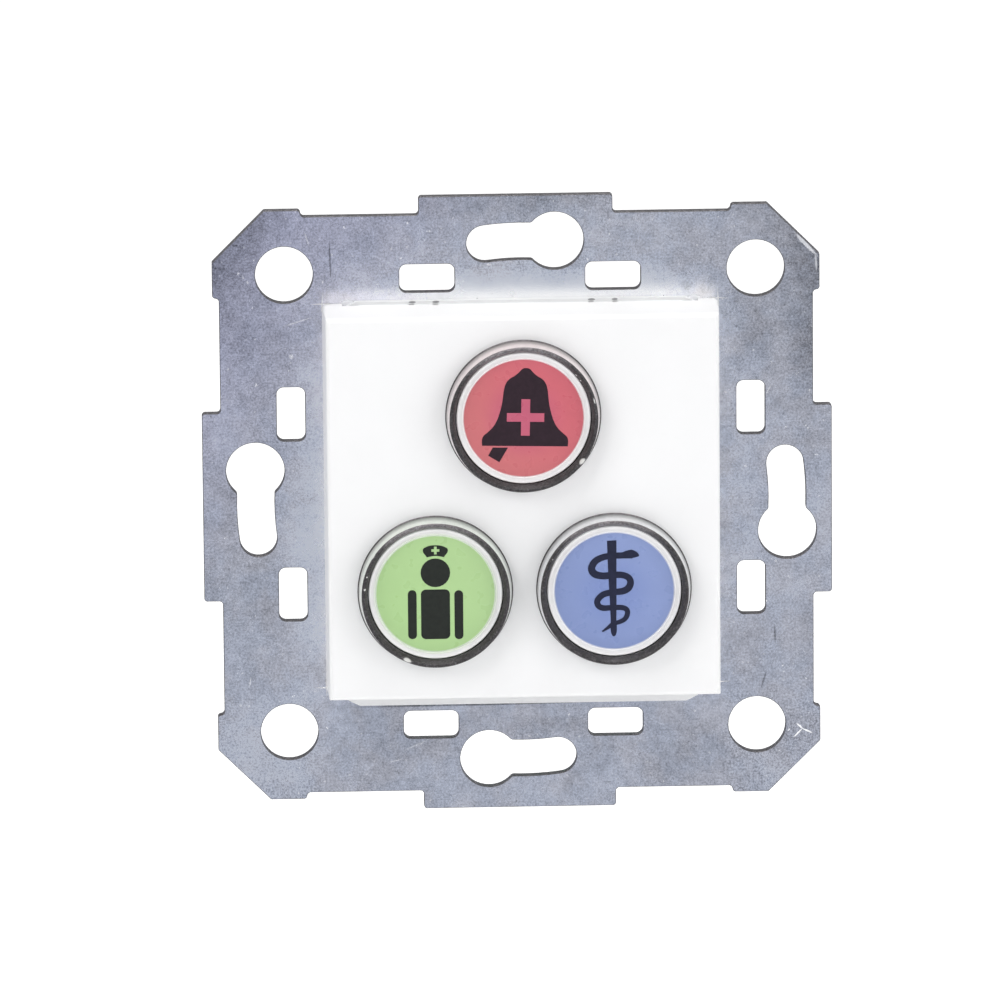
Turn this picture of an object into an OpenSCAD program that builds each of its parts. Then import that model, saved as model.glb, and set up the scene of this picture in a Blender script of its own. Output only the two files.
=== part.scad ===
// Nurse call unit for a flush wall box: a steel mounting plate, a white cover and
// three lit push buttons over a switch board. Lengths are millimetres.
// Each piece is drawn as seen from the room, x to the right, y up and z out of the
// wall, with z = 0 on the wall. on_wall() then stands the drawing up, so that the
// front faces -Y and the top +Z.

/* [Mounting plate] */
// Thickness of the steel sheet
plate_t = 1.2; // [0.8:0.1:1.6]
// Width of a middle tab
tab_w = 21.8; // [16:0.2:30]
// Metal outside the keyholes' head openings, in the middle tabs
tab_margin = 2.2; // [1.5:0.1:3]
// Step from a middle tab back to the main edge
tab_step = 2.1; // [1.5:0.05:2.6]
// Step from the main edge out to a corner pad
pad_step = 0.75; // [0.7:0.05:1.5]
// Length of a corner pad along the edge, up to the uncut corner
pad_l = 10; // [8:0.5:12]
// Leg of the cut across each corner
corner_cut = 5.9; // [4:0.1:6.5]
// Fillet in each step of the edge
step_r = 0.5; // [0.3:0.05:0.8]
// Rounding of the outer corners of the tabs and pads
edge_r = 0.45; // [0.2:0.05:0.6]
// Distance of the outline's middle to the left of the holes' middle
outline_left = 0.45; // [0:0.05:0.6]
// Distance of the outline's middle below the holes' middle
outline_drop = 0.25; // [0:0.05:0.5]
// Width of a folded lug
lug_w = 18; // [14:0.5:22]
// Strip of a folded lug beyond its window
lug_strap = 1.6; // [1:0.1:3]
// Inner radius of the fold
fold_r = 0.4; // [0.2:0.1:0.6]
// Width of the relief cut beside each fold
relief_w = 1; // [0.6:0.1:1.6]

/* [Screw holes and slots] */
// Diameter of a keyhole's opening for the screw head
key_head_d = 6.6; // [6:0.1:7.2]
// Width of a keyhole's arc slot
key_slot_w = 4.2; // [3.6:0.1:4.4]
// Sideways offset of the head opening and of the slot's end
key_shift = 3.9; // [3.4:0.1:4.6]
// Fillet where the slot meets the head opening
key_fillet_r = 0.7; // [0.3:0.05:0.8]
// Distance from the middle of the frame slots out to the box screws
screw_offset = 4.1; // [3.8:0.1:5]
// Diameter of the round corner holes
corner_hole_d = 6.5; // [5:0.1:7]
// Distance of the corner holes inside the corner pads
corner_inset = 7.65; // [7:0.05:8.4]
// Length of a frame slot
frame_slot_l = 6.2; // [4.5:0.1:8]
// Width of a frame slot
frame_slot_w = 3.2; // [2.4:0.1:3.6]
// Corner radius of a frame slot
frame_slot_r = 0.8; // [0.3:0.1:1.1]
// Metal between the bend of a lug and the frame slots
frame_web = 2.4; // [1.5:0.1:3]
// Sideways distance between a head opening and a frame slot
frame_slot_gap = 0.15; // [0.1:0.05:1]

/* [Cover] */
// Rim of the front face outside the bezels
face_margin = 3.25; // [2.5:0.05:4]
// Height of the front face over the plate
cover_rise = 7; // [6.5:0.1:9]
// Draft of each side, from the foot to the face
cover_draft = 0.25; // [0.1:0.05:0.4]
// Distance of the cover's middle above the plate's middle
cover_lift = 0.85; // [0:0.05:1]
// Thickness of the cover's sides
cover_wall = 1.6; // [1.2:0.1:1.7]
// Thickness of the cover's front
cover_front_t = 2; // [1.6:0.1:2.4]
// Rounding of the edges round the face
cover_edge_r = 0.6; // [0.3:0.05:1]
// Rounding of the upright corners
cover_corner_r = 0.7; // [0.4:0.05:1.2]
// Thickness of the snap arms behind the cover
arm_t = 1.2; // [0.9:0.1:1.3]
// Width of the two upper snap arms
upper_arm_w = 4; // [3:0.2:5]
// Width of the lower snap arm
lower_arm_w = 6; // [4:0.2:7]
// Spacing of the two upper snap arms
arm_pitch = 26; // [25.5:0.5:29]
// Thickness of the stiffening ribs inside the cover
rib_t = 1; // [0.8:0.1:1.4]
// Height of the stiffening ribs
rib_h = 2.4; // [1.5:0.1:3]

/* [Housing] */
// Gap between the box and the cover's sides
box_gap = 0.7; // [0.5:0.1:1]
// Thickness of the box's walls
box_wall = 1.2; // [1:0.1:1.3]
// Thickness of the box's back
box_back_t = 1.4; // [1:0.1:2]
// Outer radius of the box's upright corners
box_corner_r = 2; // [1:0.1:3]
// Cut along the rear edges of the box
box_edge_cut = 0.9; // [0.4:0.1:1.2]
// Thickness of the lips that rest on the plate
lip_t = 1; // [0.9:0.1:1.2]
// Distance of the lips' ends inside the box's sides
lip_inset = 0.2; // [0.2:0.1:2]
// Distance that the lips stand out of the cover's foot
lip_reach = 1.15; // [0.9:0.05:1.6]
// Depth of the step round the front of a lip
lip_step = 0.4; // [0.2:0.05:0.6]
// Length of the cut at each end of a lip
lip_end_cut = 1.3; // [0.8:0.1:2]
// Width of the snap tongues that hold the plate
snap_w = 6; // [5:0.2:8]
// Distance that the snap tongues stand out of the box
snap_reach = 0.9; // [0.6:0.05:1.1]

/* [Buttons] */
// Diameter of the lens cap
lens_d = 15.05; // [14.5:0.05:16]
// Thickness of the lens cap
lens_t = 1.6; // [1.3:0.1:1.8]
// Depth of the lens below the bezel's crest
lens_recess = 1.1; // [0.9:0.05:1.3]
// Wall of the barrel round the lens
barrel_wall = 0.375; // [0.3:0.025:0.5]
// Distance that the bezel's flange stands out of the barrel
flange_reach = 0.75; // [0.6:0.05:1.2]
// Height of the bezel over the cover
bezel_h = 2.3; // [2:0.05:2.6]
// Lean of the bezel's side, from the flange to the crest
crest_inset = 0.4; // [0.3:0.05:0.5]
// Rounding of the bezel's crest
crest_r = 0.25; // [0.15:0.05:0.3]
// Gap between neighbouring bezels
button_gap = 2.6; // [2.2:0.1:4]
// Distance of the buttons' middle above the cover's middle
button_lift = 0.6; // [0.2:0.05:0.8]
// Width of the lens's rim round the legend disc
rim_w = 0.75; // [0.5:0.05:1.2]
// Thickness of the legend disc
disc_t = 0.4; // [0.2:0.05:0.6]
// Travel of each button
button_travel = 1.5; // [0.8:0.1:1.6]
// Distance of the skirt inside the lens's edge
skirt_inset = 1.225; // [1.1:0.025:1.4]
// Wall of the lens cap's skirt
skirt_wall = 0.8; // [0.6:0.05:0.9]
// Width of the two stop ears on the skirt
ear_w = 3; // [2:0.2:4]
// Distance that a stop ear stands out of the skirt
ear_reach = 0.5; // [0.3:0.05:0.6]
// Height of a stop ear
ear_h = 0.7; // [0.5:0.05:0.8]
// Distance that the lock nut's flats stand out of the barrel
nut_reach = 0.45; // [0.4:0.05:0.5]
// Thickness of the lock nut
nut_t = 2.2; // [1.6:0.1:2.6]
// Wire diameter of the return spring
wire_d = 0.5; // [0.3:0.05:0.6]
// Turns of the return spring
coil_turns = 5; // [4:0.5:6]
// Outer diameter of the LED's body
led_d = 3; // [2.6:0.1:3.2]
// Height of the LED over the contact block
led_h = 5; // [4.4:0.1:5.2]

/* [Board and terminals] */
// Thickness of the circuit board
board_t = 1.6; // [1.2:0.1:2]
// Height of the contact pins over the board
pin_h = 2.75; // [2:0.05:3.5]
// Rim of a contact block outside the spring
block_margin = 1.9; // [1.7:0.05:2]
// Corner radius of a contact block
block_r = 1.2; // [0.6:0.1:2]
// Thickness of a contact block's top and sides
block_wall = 1; // [0.8:0.05:1.1]
// Thickness of the moving contact disc
contact_t = 0.3; // [0.2:0.05:0.4]
// Diameter of the contact pins
pin_d = 1.4; // [1:0.1:1.6]
// Diameter of the leads through the board
lead_d = 0.6; // [0.5:0.05:0.7]
// Number of wire terminals
terminals = 6; // [4:1:6]
// Pitch of the wire terminals
terminal_pitch = 5.08; // [5:0.02:5.1]
// Width of the terminal block, from its wire side to its back
terminal_w = 10; // [9:0.1:10.6]
// Length of the terminal block behind its wire clamps
tail_l = 3.7; // [3:0.1:6]
// Depth of the funnel round each wire entry
funnel_depth = 0.9; // [0.4:0.1:1.2]
// Depth of the grooves between the poles
pole_groove = 0.4; // [0.2:0.05:0.6]
// Diameter of the terminal screws' heads
terminal_head_d = 3.5; // [3:0.1:3.7]
// Diameter of the board screws' heads
screw_head_d = 4.4; // [4:0.1:5]
// Diameter of the board and terminal screws' threads
screw_d = 2.2; // [2:0.1:2.5]

/* [Hidden] */
$fn = 48;

// Clearances and small sizes shared by several pieces; a fillet's arc dips into the edges
// that it joins by blend_dip
overrun = 1;
running_gap = 0.1;
thread_gap = 0.05;
play = 0.2;
clear_gap = 0.3;
stop_gap = 0.1;
steel_edge_gap = 0.3;
blend_dip = 0.02;

// A button's diameters, from the lens outwards
bore_d = lens_d + 2 * running_gap;
barrel_d = bore_d + 2 * barrel_wall;
bezel_d = barrel_d + 2 * flange_reach;
crest_d = bezel_d - 2 * crest_inset;
nut_flats = barrel_d + 2 * nut_reach;

// Places of the three buttons: bell on top, nurse at the left, doctor at the right
button_pitch = bezel_d + button_gap;
button_mid = cover_lift + button_lift;
BELL = [0, button_mid + button_pitch / 2];
NURSE = [-button_pitch / 2, button_mid - button_pitch / 2];
DOCTOR = [button_pitch / 2, button_mid - button_pitch / 2];

// Cover round the buttons, box inside the cover, lips past its foot
cover_size = button_pitch + bezel_d + 2 * face_margin;
foot_size = cover_size + 2 * cover_draft;
box_size = foot_size - 2 * cover_wall - 2 * box_gap;
cavity = box_size - 2 * box_wall;
lip_w = box_size - 2 * lip_inset;
lip_span = foot_size + 2 * lip_reach;

// Plate round the box: lugs, frame slots, screw holes and outline, each outside the last.
// The box screws come out at the pitch of 60 that flush wall boxes have
lug_inner = box_size / 2 + steel_edge_gap;
lug_outer = lug_inner + plate_t;
frame_row_pitch = 2 * (lug_outer + fold_r + frame_web) + frame_slot_w;
frame_slot_pitch = 2 * (key_shift + key_head_d / 2 + frame_slot_gap) + frame_slot_l;
box_pitch = frame_row_pitch + 2 * screw_offset;
tab_span = box_pitch + key_head_d + 2 * tab_margin;
plate_size = tab_span - 2 * tab_step;
pad_span = plate_size + 2 * pad_step;
corner_pitch = pad_span - 2 * corner_inset;

// Inside a button, between the LED's rim and the skirt
disc_d = lens_d - 2 * rim_w;
skirt_d = lens_d - 2 * skirt_inset;
skirt_bore_d = skirt_d - 2 * skirt_wall;
barrel_bore_d = skirt_d + 2 * running_gap;
carrier_d = skirt_bore_d - 2 * running_gap;
led_rim_w = 0.4;
led_rim_d = led_d + 2 * led_rim_w;
led_rim_t = 0.9;
led_lead_pitch = 2.54;
works_room = (skirt_bore_d - led_rim_d) / 2;
leg_place_share = 1 / 6;
leg_share = 0.3;
coil_share = 0.68;
leg_in = led_rim_d / 2 + works_room * leg_place_share;
leg_t = works_room * leg_share;
leg_w = 2.4;
coil_d = led_rim_d + 2 * works_room * coil_share;
coil_sides = 6;
coil_rings = 12;
carrier_bore_d = 2 * leg_in + 2 * running_gap;
carrier_t = 1.2;
hub_h = 1.3;
seat_depth = 0.3;
post_d = leg_in * 2 - 2 * clear_gap;
block_size = coil_d + wire_d + 2 * block_margin;
contact_room = 0.5;
contact_bore_d = carrier_bore_d;
contact_d = block_size - 2 * block_wall - 2 * contact_room;
pin_offset = (contact_bore_d + contact_d) / 4;

// Heights above the wall, from the cover's face down to the lens and its works
plate_front = plate_t;
lip_front = plate_front + lip_t;
cover_front = plate_front + cover_rise;
cover_inside = cover_front - cover_front_t;
crest_top = cover_front + bezel_h;
lens_front = crest_top - lens_recess;
lens_back = lens_front - lens_t;
bore_floor = lens_back - button_travel - stop_gap;
carrier_top = lens_back - hub_h;
carrier_base = carrier_top - carrier_t;

// Heights from the top of the contact blocks up to the barrel's end
block_top = 0;
skirt_gap = 0.4;
skirt_end = block_top + button_travel + skirt_gap;
ear_top = skirt_end + ear_h;
barrel_end = ear_top + stop_gap;

// Heights from the top of the contact blocks down to the back of the box
contact_drop = 3.4;
contact_top = block_top - contact_drop;
pin_top = contact_top - contact_t - button_travel - thread_gap;
board_front = pin_top - pin_h;
board_back = board_front - board_t;
cage_drop = 1.6;
cage_h = 4.4;
cage_top = board_back - cage_drop;
terminal_proud = 0.3;
terminal_end = cage_top - cage_h - tail_l;
box_depth = -terminal_end - terminal_proud;
box_floor = -box_depth + box_back_t;

// Snap arms of the cover and snap tongues of the box
arm_face = cavity / 2 - play;
arm_reach = 5;
arm_end = -arm_reach;
hook_h = 1.8;
hook_reach = 0.8;
hook_top = arm_end + hook_h;
slit_w = 0.6;
slit_pitch = 2.7;
slit_run = 0.5;
bridge_pitch = 20.2;
bridge_shift = 0.8;
snap_drop = 3.4;
snap_l = 3.2;
tongue_lead = 2;
tongue_run = 2.4;
snap_top = -snap_drop;
snap_end = snap_top - snap_l;
tongue_top = snap_top + tongue_lead;
tongue_root = snap_end - tongue_run;
lug_depth = lug_strap + play - snap_end;

// Board and terminals
board_size = cavity - 2 * clear_gap;
board_corner_r = 0.6;
terminal_margin = 1.2;
terminal_wall = 0.4;
terminal_edge = -cavity / 2 + terminal_margin;
terminal_mid = terminal_edge + terminal_w / 2;
terminal_l = terminals * terminal_pitch + 2 * terminal_wall;
terminal_lead_d = 0.9;
cage_w = 3.6;
cage_wall = 0.6;
cage_l = 5;
wire_hole = 2.6;
funnel_rim = 0.4;
pole_groove_w = 0.6;
boss_d = 5.2;
boss_bore_d = screw_d + 2 * thread_gap;
boss_gap = 1.4;
boss_inset = [5.8, 6.4];
screw_head_t = 1.5;
thread_l = 6;
post_size = 2.4;
upper_boss = [cavity / 2, cavity / 2] - boss_inset;
lower_boss_y = terminal_edge + terminal_w + boss_gap + boss_d / 2;
screw_places = [[-upper_boss.x, upper_boss.y], upper_boss, [0, lower_boss_y]];

// Placing

module on_wall() rotate([90, 0, 0]) children();

module at_button(place) on_wall() translate(place) children();

module layer(low, high) translate([0, 0, low]) linear_extrude(high - low) children();

module mirror_copies(axis) {
    children();
    mirror(axis) children();
}

// Flat shapes

function polar(r, angle) = [r * cos(angle), r * sin(angle)];

module ring(outer_d, inner_d) {
    difference() {
        circle(d = outer_d);
        circle(d = inner_d);
    }
}

module rounded(size, r) {
    square([size.x - 2 * r, size.y], center = true);
    square([size.x, size.y - 2 * r], center = true);
    for (x = [-1, 1], y = [-1, 1])
        translate([x * (size.x / 2 - r), y * (size.y / 2 - r)]) circle(r = r);
}

// Centre of a circle that touches two circles, a around the origin with radius ra and b with
// radius rb, on the side of b that the sign picks
function meeting(ra, b, rb, side) =
    let (d = norm(b), along = (ra * ra - rb * rb + d * d) / (2 * d), off = sqrt(ra * ra - along * along))
    b / d * along + side * off * [-b.y, b.x] / d;

// Point where the line from p touches the circle around c with radius r
function touch(p, c, r, side) =
    let (d = norm(p - c), aim = atan2(p.y - c.y, p.x - c.x))
    c + polar(r, aim + side * acos(r / d));

// Mounting plate: bayonet keyholes, frame slots and the folded lugs

module circle_at(centre, r) translate(centre) circle(r = r);

// Fillet between the head opening and one wall of the arc slot
module key_fillet(head, wall_r, out) {
    head_r = key_head_d / 2;
    reach = key_fillet_r - blend_dip;
    centre = meeting(wall_r + out * reach, head, head_r + reach, 1);
    on_head = head + (centre - head) * head_r / norm(centre - head);
    on_wall_line = centre * wall_r / norm(centre);
    inside = centre * (box_pitch / 2) / norm(centre);
    difference() {
        polygon([centre, on_head, (inside + head) / 2, inside, on_wall_line]);
        circle_at(centre, key_fillet_r);
    }
}

// Keyhole on the pitch circle: a head opening, and an arc slot that a turn of the plate
// brings under the screw head
module keyhole() {
    pitch_r = box_pitch / 2;
    half_slot = key_slot_w / 2;
    head = [key_shift, pitch_r];
    swing = asin(key_shift / pitch_r);
    circle_at(head, key_head_d / 2);
    circle_at(polar(pitch_r, 90 + swing), half_slot);
    intersection() {
        ring(box_pitch + key_slot_w, box_pitch - key_slot_w);
        polygon([[0, 0], polar(box_pitch, 90 + swing), polar(box_pitch, 90 - swing)]);
    }
    key_fillet(head, pitch_r + half_slot, 1);
    key_fillet(head, pitch_r - half_slot, -1);
}

// Fillet that fills an inner corner whose edges run to +x and +y
module corner_fill(r) {
    reach = r - blend_dip;
    difference() {
        translate([-r, -r]) square(r + reach);
        circle_at([reach, reach], r);
    }
}

// Corner of an outline, with edges that run to -x and -y, less its rounded form
module corner_waste(r) {
    reach = r - blend_dip;
    difference() {
        translate([-reach, -reach]) square(r + reach);
        circle_at([-reach, -reach], r);
    }
}

module plate_outline() {
    pad_start = pad_span / 2 - pad_l;
    difference() {
        sheet_outline(pad_start);
        for (turn = [0 : 90 : 270], side = [0, 1]) rotate(turn) mirror([side, 0]) {
            translate([tab_w, tab_span] / 2) corner_waste(edge_r);
            translate([pad_start, pad_span / 2]) mirror([1, 0]) corner_waste(edge_r);
        }
    }
}

module sheet_outline(pad_start) {
    intersection() {
        union() {
            square(plate_size, center = true);
            square([tab_w, tab_span], center = true);
            square([tab_span, tab_w], center = true);
            difference() {
                square(pad_span, center = true);
                square([2 * pad_start, 2 * pad_span], center = true);
                square([2 * pad_span, 2 * pad_start], center = true);
            }
            for (turn = [0 : 90 : 270], side = [0, 1]) rotate(turn) mirror([side, 0]) {
                translate([tab_w / 2, plate_size / 2]) corner_fill(step_r);
                translate([pad_start, plate_size / 2]) mirror([1, 0]) corner_fill(step_r);
            }
        }
        rotate(45) square((pad_span - corner_cut) / cos(45), center = true);
    }
}

module plate_openings() {
    square(2 * lug_inner, center = true);
    square([2 * (lug_outer + fold_r), lug_w + 2 * relief_w], center = true);
    for (x = [-1, 1], y = [-1, 1])
        circle_at([x, y] * corner_pitch / 2, corner_hole_d / 2);
    for (turn = [0 : 90 : 270]) rotate(turn) {
        keyhole();
        for (x = [-1, 1]) translate([x * frame_slot_pitch, frame_row_pitch] / 2)
            rounded([frame_slot_l, frame_slot_w], frame_slot_r);
    }
}

// Lug folded back beside the box, with the window for the box's snap tongue
module folded_lug() {
    bend_r = fold_r + plate_t;
    difference() {
        rotate([90, 0, 0]) linear_extrude(lug_w, center = true) {
            translate([lug_outer + fold_r, -fold_r]) intersection() {
                ring(2 * bend_r, 2 * fold_r);
                translate([-bend_r, 0]) square(bend_r);
            }
            translate([lug_inner, -lug_depth]) square([plate_t, lug_depth - fold_r]);
        }
        layer(snap_end - play, snap_top + stop_gap)
            translate([lug_inner + plate_t / 2, 0])
                square([2 * plate_t, snap_w + 2 * clear_gap], center = true);
    }
}

module mounting_plate() color("silver") on_wall() {
    layer(0, plate_t) difference() {
        translate([-outline_left, -outline_drop]) plate_outline();
        plate_openings();
    }
    mirror_copies([1, 0, 0]) folded_lug();
}

// Front cover

// Side view of the cover: a drafted profile with rounded front edges
module drafted_profile(face, foot, low, high, r) {
    lean = atan2((foot - face) / 2, high - low);
    drop = high - r;
    run = face / 2 - r * cos(lean);
    mirror_copies([1, 0]) {
        polygon([[0, low], [foot / 2, low], [run, drop] + polar(r, lean), [run, high], [0, high]]);
        intersection() {
            circle_at([run, drop], r);
            translate([run, drop - r]) square(2 * r);
        }
    }
}

module drafted_block(inset, low, high, r) {
    face = cover_size - 2 * inset;
    foot = foot_size - 2 * inset;
    intersection() {
        rotate([90, 0, 0]) linear_extrude(2 * foot, center = true)
            drafted_profile(face, foot, low, high, r);
        rotate([90, 0, 90]) linear_extrude(2 * foot, center = true)
            drafted_profile(face, foot, low, high, r);
        layer(low - overrun, high + overrun)
            rounded([foot, foot], max(cover_corner_r - inset / 2, cover_corner_r / 2));
    }
}

// Snap arm whose hook catches in a window of the box's wall, drawn for the upper wall
module snap_arm(width) {
    rotate([90, 0, 90]) linear_extrude(width, center = true)
        polygon([
            [arm_face - arm_t, cover_inside], [arm_face - arm_t, arm_end], [arm_face, arm_end],
            [arm_face + hook_reach, hook_top - stop_gap - hook_h / 3],
            [arm_face + hook_reach, hook_top - stop_gap],
            [arm_face, hook_top - stop_gap], [arm_face, cover_inside]
        ]);
}

module arm_places() {
    for (x = [-1, 1]) translate([x * arm_pitch / 2, 0]) children(0);
    mirror([0, 1, 0]) children(1);
}

module cover_ribs() {
    rib_y = (BELL.y + NURSE.y) / 2;
    inner = cover_size - 2 * cover_wall;
    layer(cover_inside - rib_h, cover_inside + cover_front_t / 2) {
        translate([0, rib_y]) square([inner + cover_wall, rib_t], center = true);
        for (x = [-1, 1]) translate([x * arm_pitch / 2, 0]) {
            low = rib_y;
            high = cover_lift + inner / 2 + cover_wall / 2;
            translate([-rib_t / 2, low]) square([rib_t, high - low]);
        }
    }
}

module front_cover() color("white") on_wall() {
    difference() {
        union() {
            difference() {
                translate([0, cover_lift]) drafted_block(0, plate_front, cover_front, cover_edge_r);
                translate([0, cover_lift])
                    drafted_block(cover_wall, plate_front - overrun, cover_inside, cover_edge_r);
                layer(plate_front - overrun, lip_front)
                    square([lip_w + 2 * play, 2 * cover_size], center = true);
            }
            cover_ribs();
            arm_places() {
                snap_arm(upper_arm_w);
                snap_arm(lower_arm_w);
            }
        }
        for (place = [BELL, NURSE, DOCTOR]) translate(place)
            layer(barrel_end, cover_front + overrun) circle(d = barrel_d + 2 * play);
    }
}

// Rear housing

// Lip that rests on the plate, with a step round its front and cut ends
module lip_outline(inset) {
    x = lip_w / 2 - inset;
    y = lip_span / 2 - inset;
    cut = lip_end_cut;
    polygon([
        [-x, -y + cut / 2], [cut - x, -y], [x - cut, -y], [x, -y + cut / 2],
        [x, y - cut / 2], [x - cut, y], [cut - x, y], [-x, y - cut / 2]
    ]);
}

// Pairs of slits that leave two springy bridges in the upper lip
module lip_slits() {
    slit_l = lip_step + slit_run;
    for (x = [-1, 1], side = [-1, 1])
        translate([(x * bridge_pitch + side * slit_pitch) / 2 - bridge_shift, 0])
            translate([0, lip_span / 2 - lip_step - slit_l / 2])
                square([slit_w, slit_l], center = true);
}

// Side view of the box, wider than it and with its rear edges cut
module box_profile() {
    wide = box_size / 2 + overrun;
    high = lip_front + overrun;
    edge = box_depth - box_edge_cut - overrun;
    polygon([
        [-wide, high], [-wide, -edge], [box_edge_cut - box_size / 2, -box_depth],
        [box_size / 2 - box_edge_cut, -box_depth], [wide, -edge], [wide, high]
    ]);
}

module box_block() {
    intersection() {
        layer(-box_depth, lip_front) rounded([box_size, box_size], box_corner_r);
        rotate([90, 0, 0]) linear_extrude(2 * box_size, center = true) box_profile();
        rotate([90, 0, 90]) linear_extrude(2 * box_size, center = true) box_profile();
    }
}

module box_shell() {
    difference() {
        union() {
            box_block();
            layer(plate_front, lip_front - lip_step) lip_outline(0);
            layer(plate_front, lip_front) lip_outline(lip_step);
        }
        layer(box_floor, lip_front + overrun)
            rounded([cavity, cavity], max(box_corner_r - box_wall, box_corner_r / 4));
    }
}

// Tongue on the right side of the box, cut free by slits, with a wedge that snaps into the lug
module tongue_slits() {
    half = snap_w / 2;
    rotate([90, 0, 90]) linear_extrude(box_size) {
        for (y = [-1, 1]) translate([y * (half + slit_w / 2), (tongue_root + tongue_top) / 2])
            square([slit_w, tongue_top - tongue_root], center = true);
        translate([-half - slit_w, tongue_top - slit_w]) square([snap_w + 2 * slit_w, slit_w]);
    }
}

module tongue_wedge() {
    face = box_size / 2;
    rotate([90, 0, 0]) linear_extrude(snap_w - 2 * play, center = true)
        polygon([
            [face - box_wall / 2, snap_top], [face + snap_reach, snap_top],
            [face + snap_reach, (snap_top + snap_end) / 2], [face, snap_end],
            [face - box_wall / 2, snap_end]
        ]);
}

module arm_window(width) {
    rotate([90, 0, 90]) linear_extrude(width + 2 * clear_gap, center = true)
        translate([cavity / 2 - box_wall / 2, arm_end - play])
            square([2 * box_wall, hook_h + play]);
}

module screw_bosses() {
    layer(box_floor - box_back_t / 2, board_back) {
        for (place = screw_places) translate(place) ring(boss_d, boss_bore_d);
        intersection() {
            rounded([cavity + box_wall, cavity + box_wall], box_corner_r);
            for (x = [-1, 1], y = [-1, 1])
                translate([x, y] * (cavity - post_size + box_wall / 2) / 2)
                    square(post_size + box_wall / 2, center = true);
        }
    }
}

// Opening at the back for the terminal block, open to the lower wall for the wires
module terminal_opening()
    layer(-box_depth - overrun, cage_top)
        translate([-terminal_l / 2 - clear_gap, -box_size])
            square([terminal_l + 2 * clear_gap, box_size + terminal_edge + terminal_w + clear_gap]);

module rear_housing() color("gainsboro") on_wall() {
    difference() {
        union() {
            box_shell();
            screw_bosses();
            mirror_copies([1, 0, 0]) tongue_wedge();
        }
        mirror_copies([1, 0, 0]) tongue_slits();
        arm_places() {
            arm_window(upper_arm_w);
            arm_window(lower_arm_w);
        }
        layer(plate_front - overrun, lip_front + overrun) lip_slits();
        terminal_opening();
    }
}

// Push button, drawn round its own axis

// Half section of the bezel and its barrel
module bezel_section() {
    r = crest_r;
    foot = [bezel_d / 2, bezel_h / 5];
    lip = [bore_d / 2, bezel_h - lens_recess + r];
    centre = [crest_d / 2 - r, bezel_h - r];
    polygon([
        [bore_d / 2, 0], [bezel_d / 2, 0], foot, touch(foot, centre, r, 1), centre,
        touch(lip, centre, r, -1), lip
    ]);
    circle_at(centre, r);
}

module bezel_ring() color("lightgray") {
    translate([0, 0, cover_front]) rotate_extrude() bezel_section();
    layer(bore_floor, cover_front) ring(barrel_d, bore_d);
    layer(barrel_end, bore_floor) ring(barrel_d, barrel_bore_d);
}

module lock_nut() color("dimgray") {
    layer(cover_inside - nut_t, cover_inside) difference() {
        circle(d = nut_flats / cos(30), $fn = 6);
        circle(d = barrel_d + 2 * thread_gap);
    }
}

// Translucent cap: a disc with a raised rim round the legend, and a skirt with two stop ears
module lens_cap() color("whitesmoke") {
    layer(lens_front - disc_t, lens_front) ring(lens_d, disc_d + 2 * thread_gap);
    layer(lens_back, lens_front - disc_t) circle(d = lens_d);
    layer(skirt_end, lens_back) ring(skirt_d, skirt_bore_d);
    layer(skirt_end, ear_top) intersection() {
        ring(skirt_d + 2 * ear_reach, skirt_bore_d);
        square([2 * skirt_d, ear_w], center = true);
    }
}

module legend_disc(tint) color(tint)
    layer(lens_front - disc_t, lens_front) circle(d = disc_d);

// Carrier inside the skirt, with a hub under the lens and two legs that bear on the contact disc
module plunger() color("ivory") {
    layer(carrier_base, carrier_top) ring(carrier_d, carrier_bore_d);
    layer(carrier_top, lens_back) ring(carrier_d, coil_d);
    layer(contact_top, carrier_base + carrier_t / 2)
        for (x = [-1, 1]) translate([x * (leg_in + leg_t / 2), 0])
            square([leg_t, leg_w], center = true);
}

// Points of one ring of the spring's wire
function coil_ring(turn, low, high) =
    let (angle = 360 * turn, z = low + (high - low) * turn / coil_turns)
    [for (k = [0 : coil_sides - 1])
        let (p = polar(wire_d / 2, 360 * k / coil_sides))
        [(coil_d / 2 + p.x) * cos(angle), (coil_d / 2 + p.x) * sin(angle), z + p.y]];

// The wire as one swept tube
module return_spring() color("slategray") {
    steps = coil_turns * coil_rings;
    low = block_top - seat_depth + wire_d / 2 + thread_gap;
    high = carrier_base - wire_d / 2 - thread_gap;
    points = [for (i = [0 : steps]) each coil_ring(i / coil_rings, low, high)];
    first = [for (k = [coil_sides - 1 : -1 : 0]) k];
    last = [for (k = [0 : coil_sides - 1]) steps * coil_sides + k];
    sides = [for (i = [0 : steps - 1], k = [0 : coil_sides - 1])
        let (a = i * coil_sides + k, b = i * coil_sides + (k + 1) % coil_sides)
        each [[a, b, b + coil_sides], [a, b + coil_sides, a + coil_sides]]];
    polyhedron(points, concat([first, last], sides));
}

module contact_disc() color("goldenrod")
    layer(contact_top - contact_t, contact_top) ring(contact_d, contact_bore_d);

// Switch body on the board: open below, with a post for the LED's leads
module contact_block() color("darkslategray") {
    inner = block_size - 2 * block_wall;
    difference() {
        layer(board_front, block_top) rounded([block_size, block_size], block_r);
        layer(board_front - overrun, block_top - block_wall) difference() {
            rounded([inner, inner], block_r / 2);
            circle(d = post_d);
        }
        layer(block_top - seat_depth, block_top + overrun)
            ring(coil_d + wire_d + 2 * play, coil_d - wire_d - 2 * play);
        layer(block_top - 2 * block_wall, block_top + overrun)
            for (x = [-1, 1]) translate([x * (leg_in + leg_t / 2), 0])
                square([leg_t + 2 * clear_gap, leg_w + 2 * clear_gap], center = true);
        layer(board_front - overrun, block_top + overrun) led_leads(lead_d + 2 * running_gap);
    }
}

module led_leads(d)
    for (y = [-1, 1]) translate([0, y * led_lead_pitch / 2]) circle(d = d);

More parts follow.
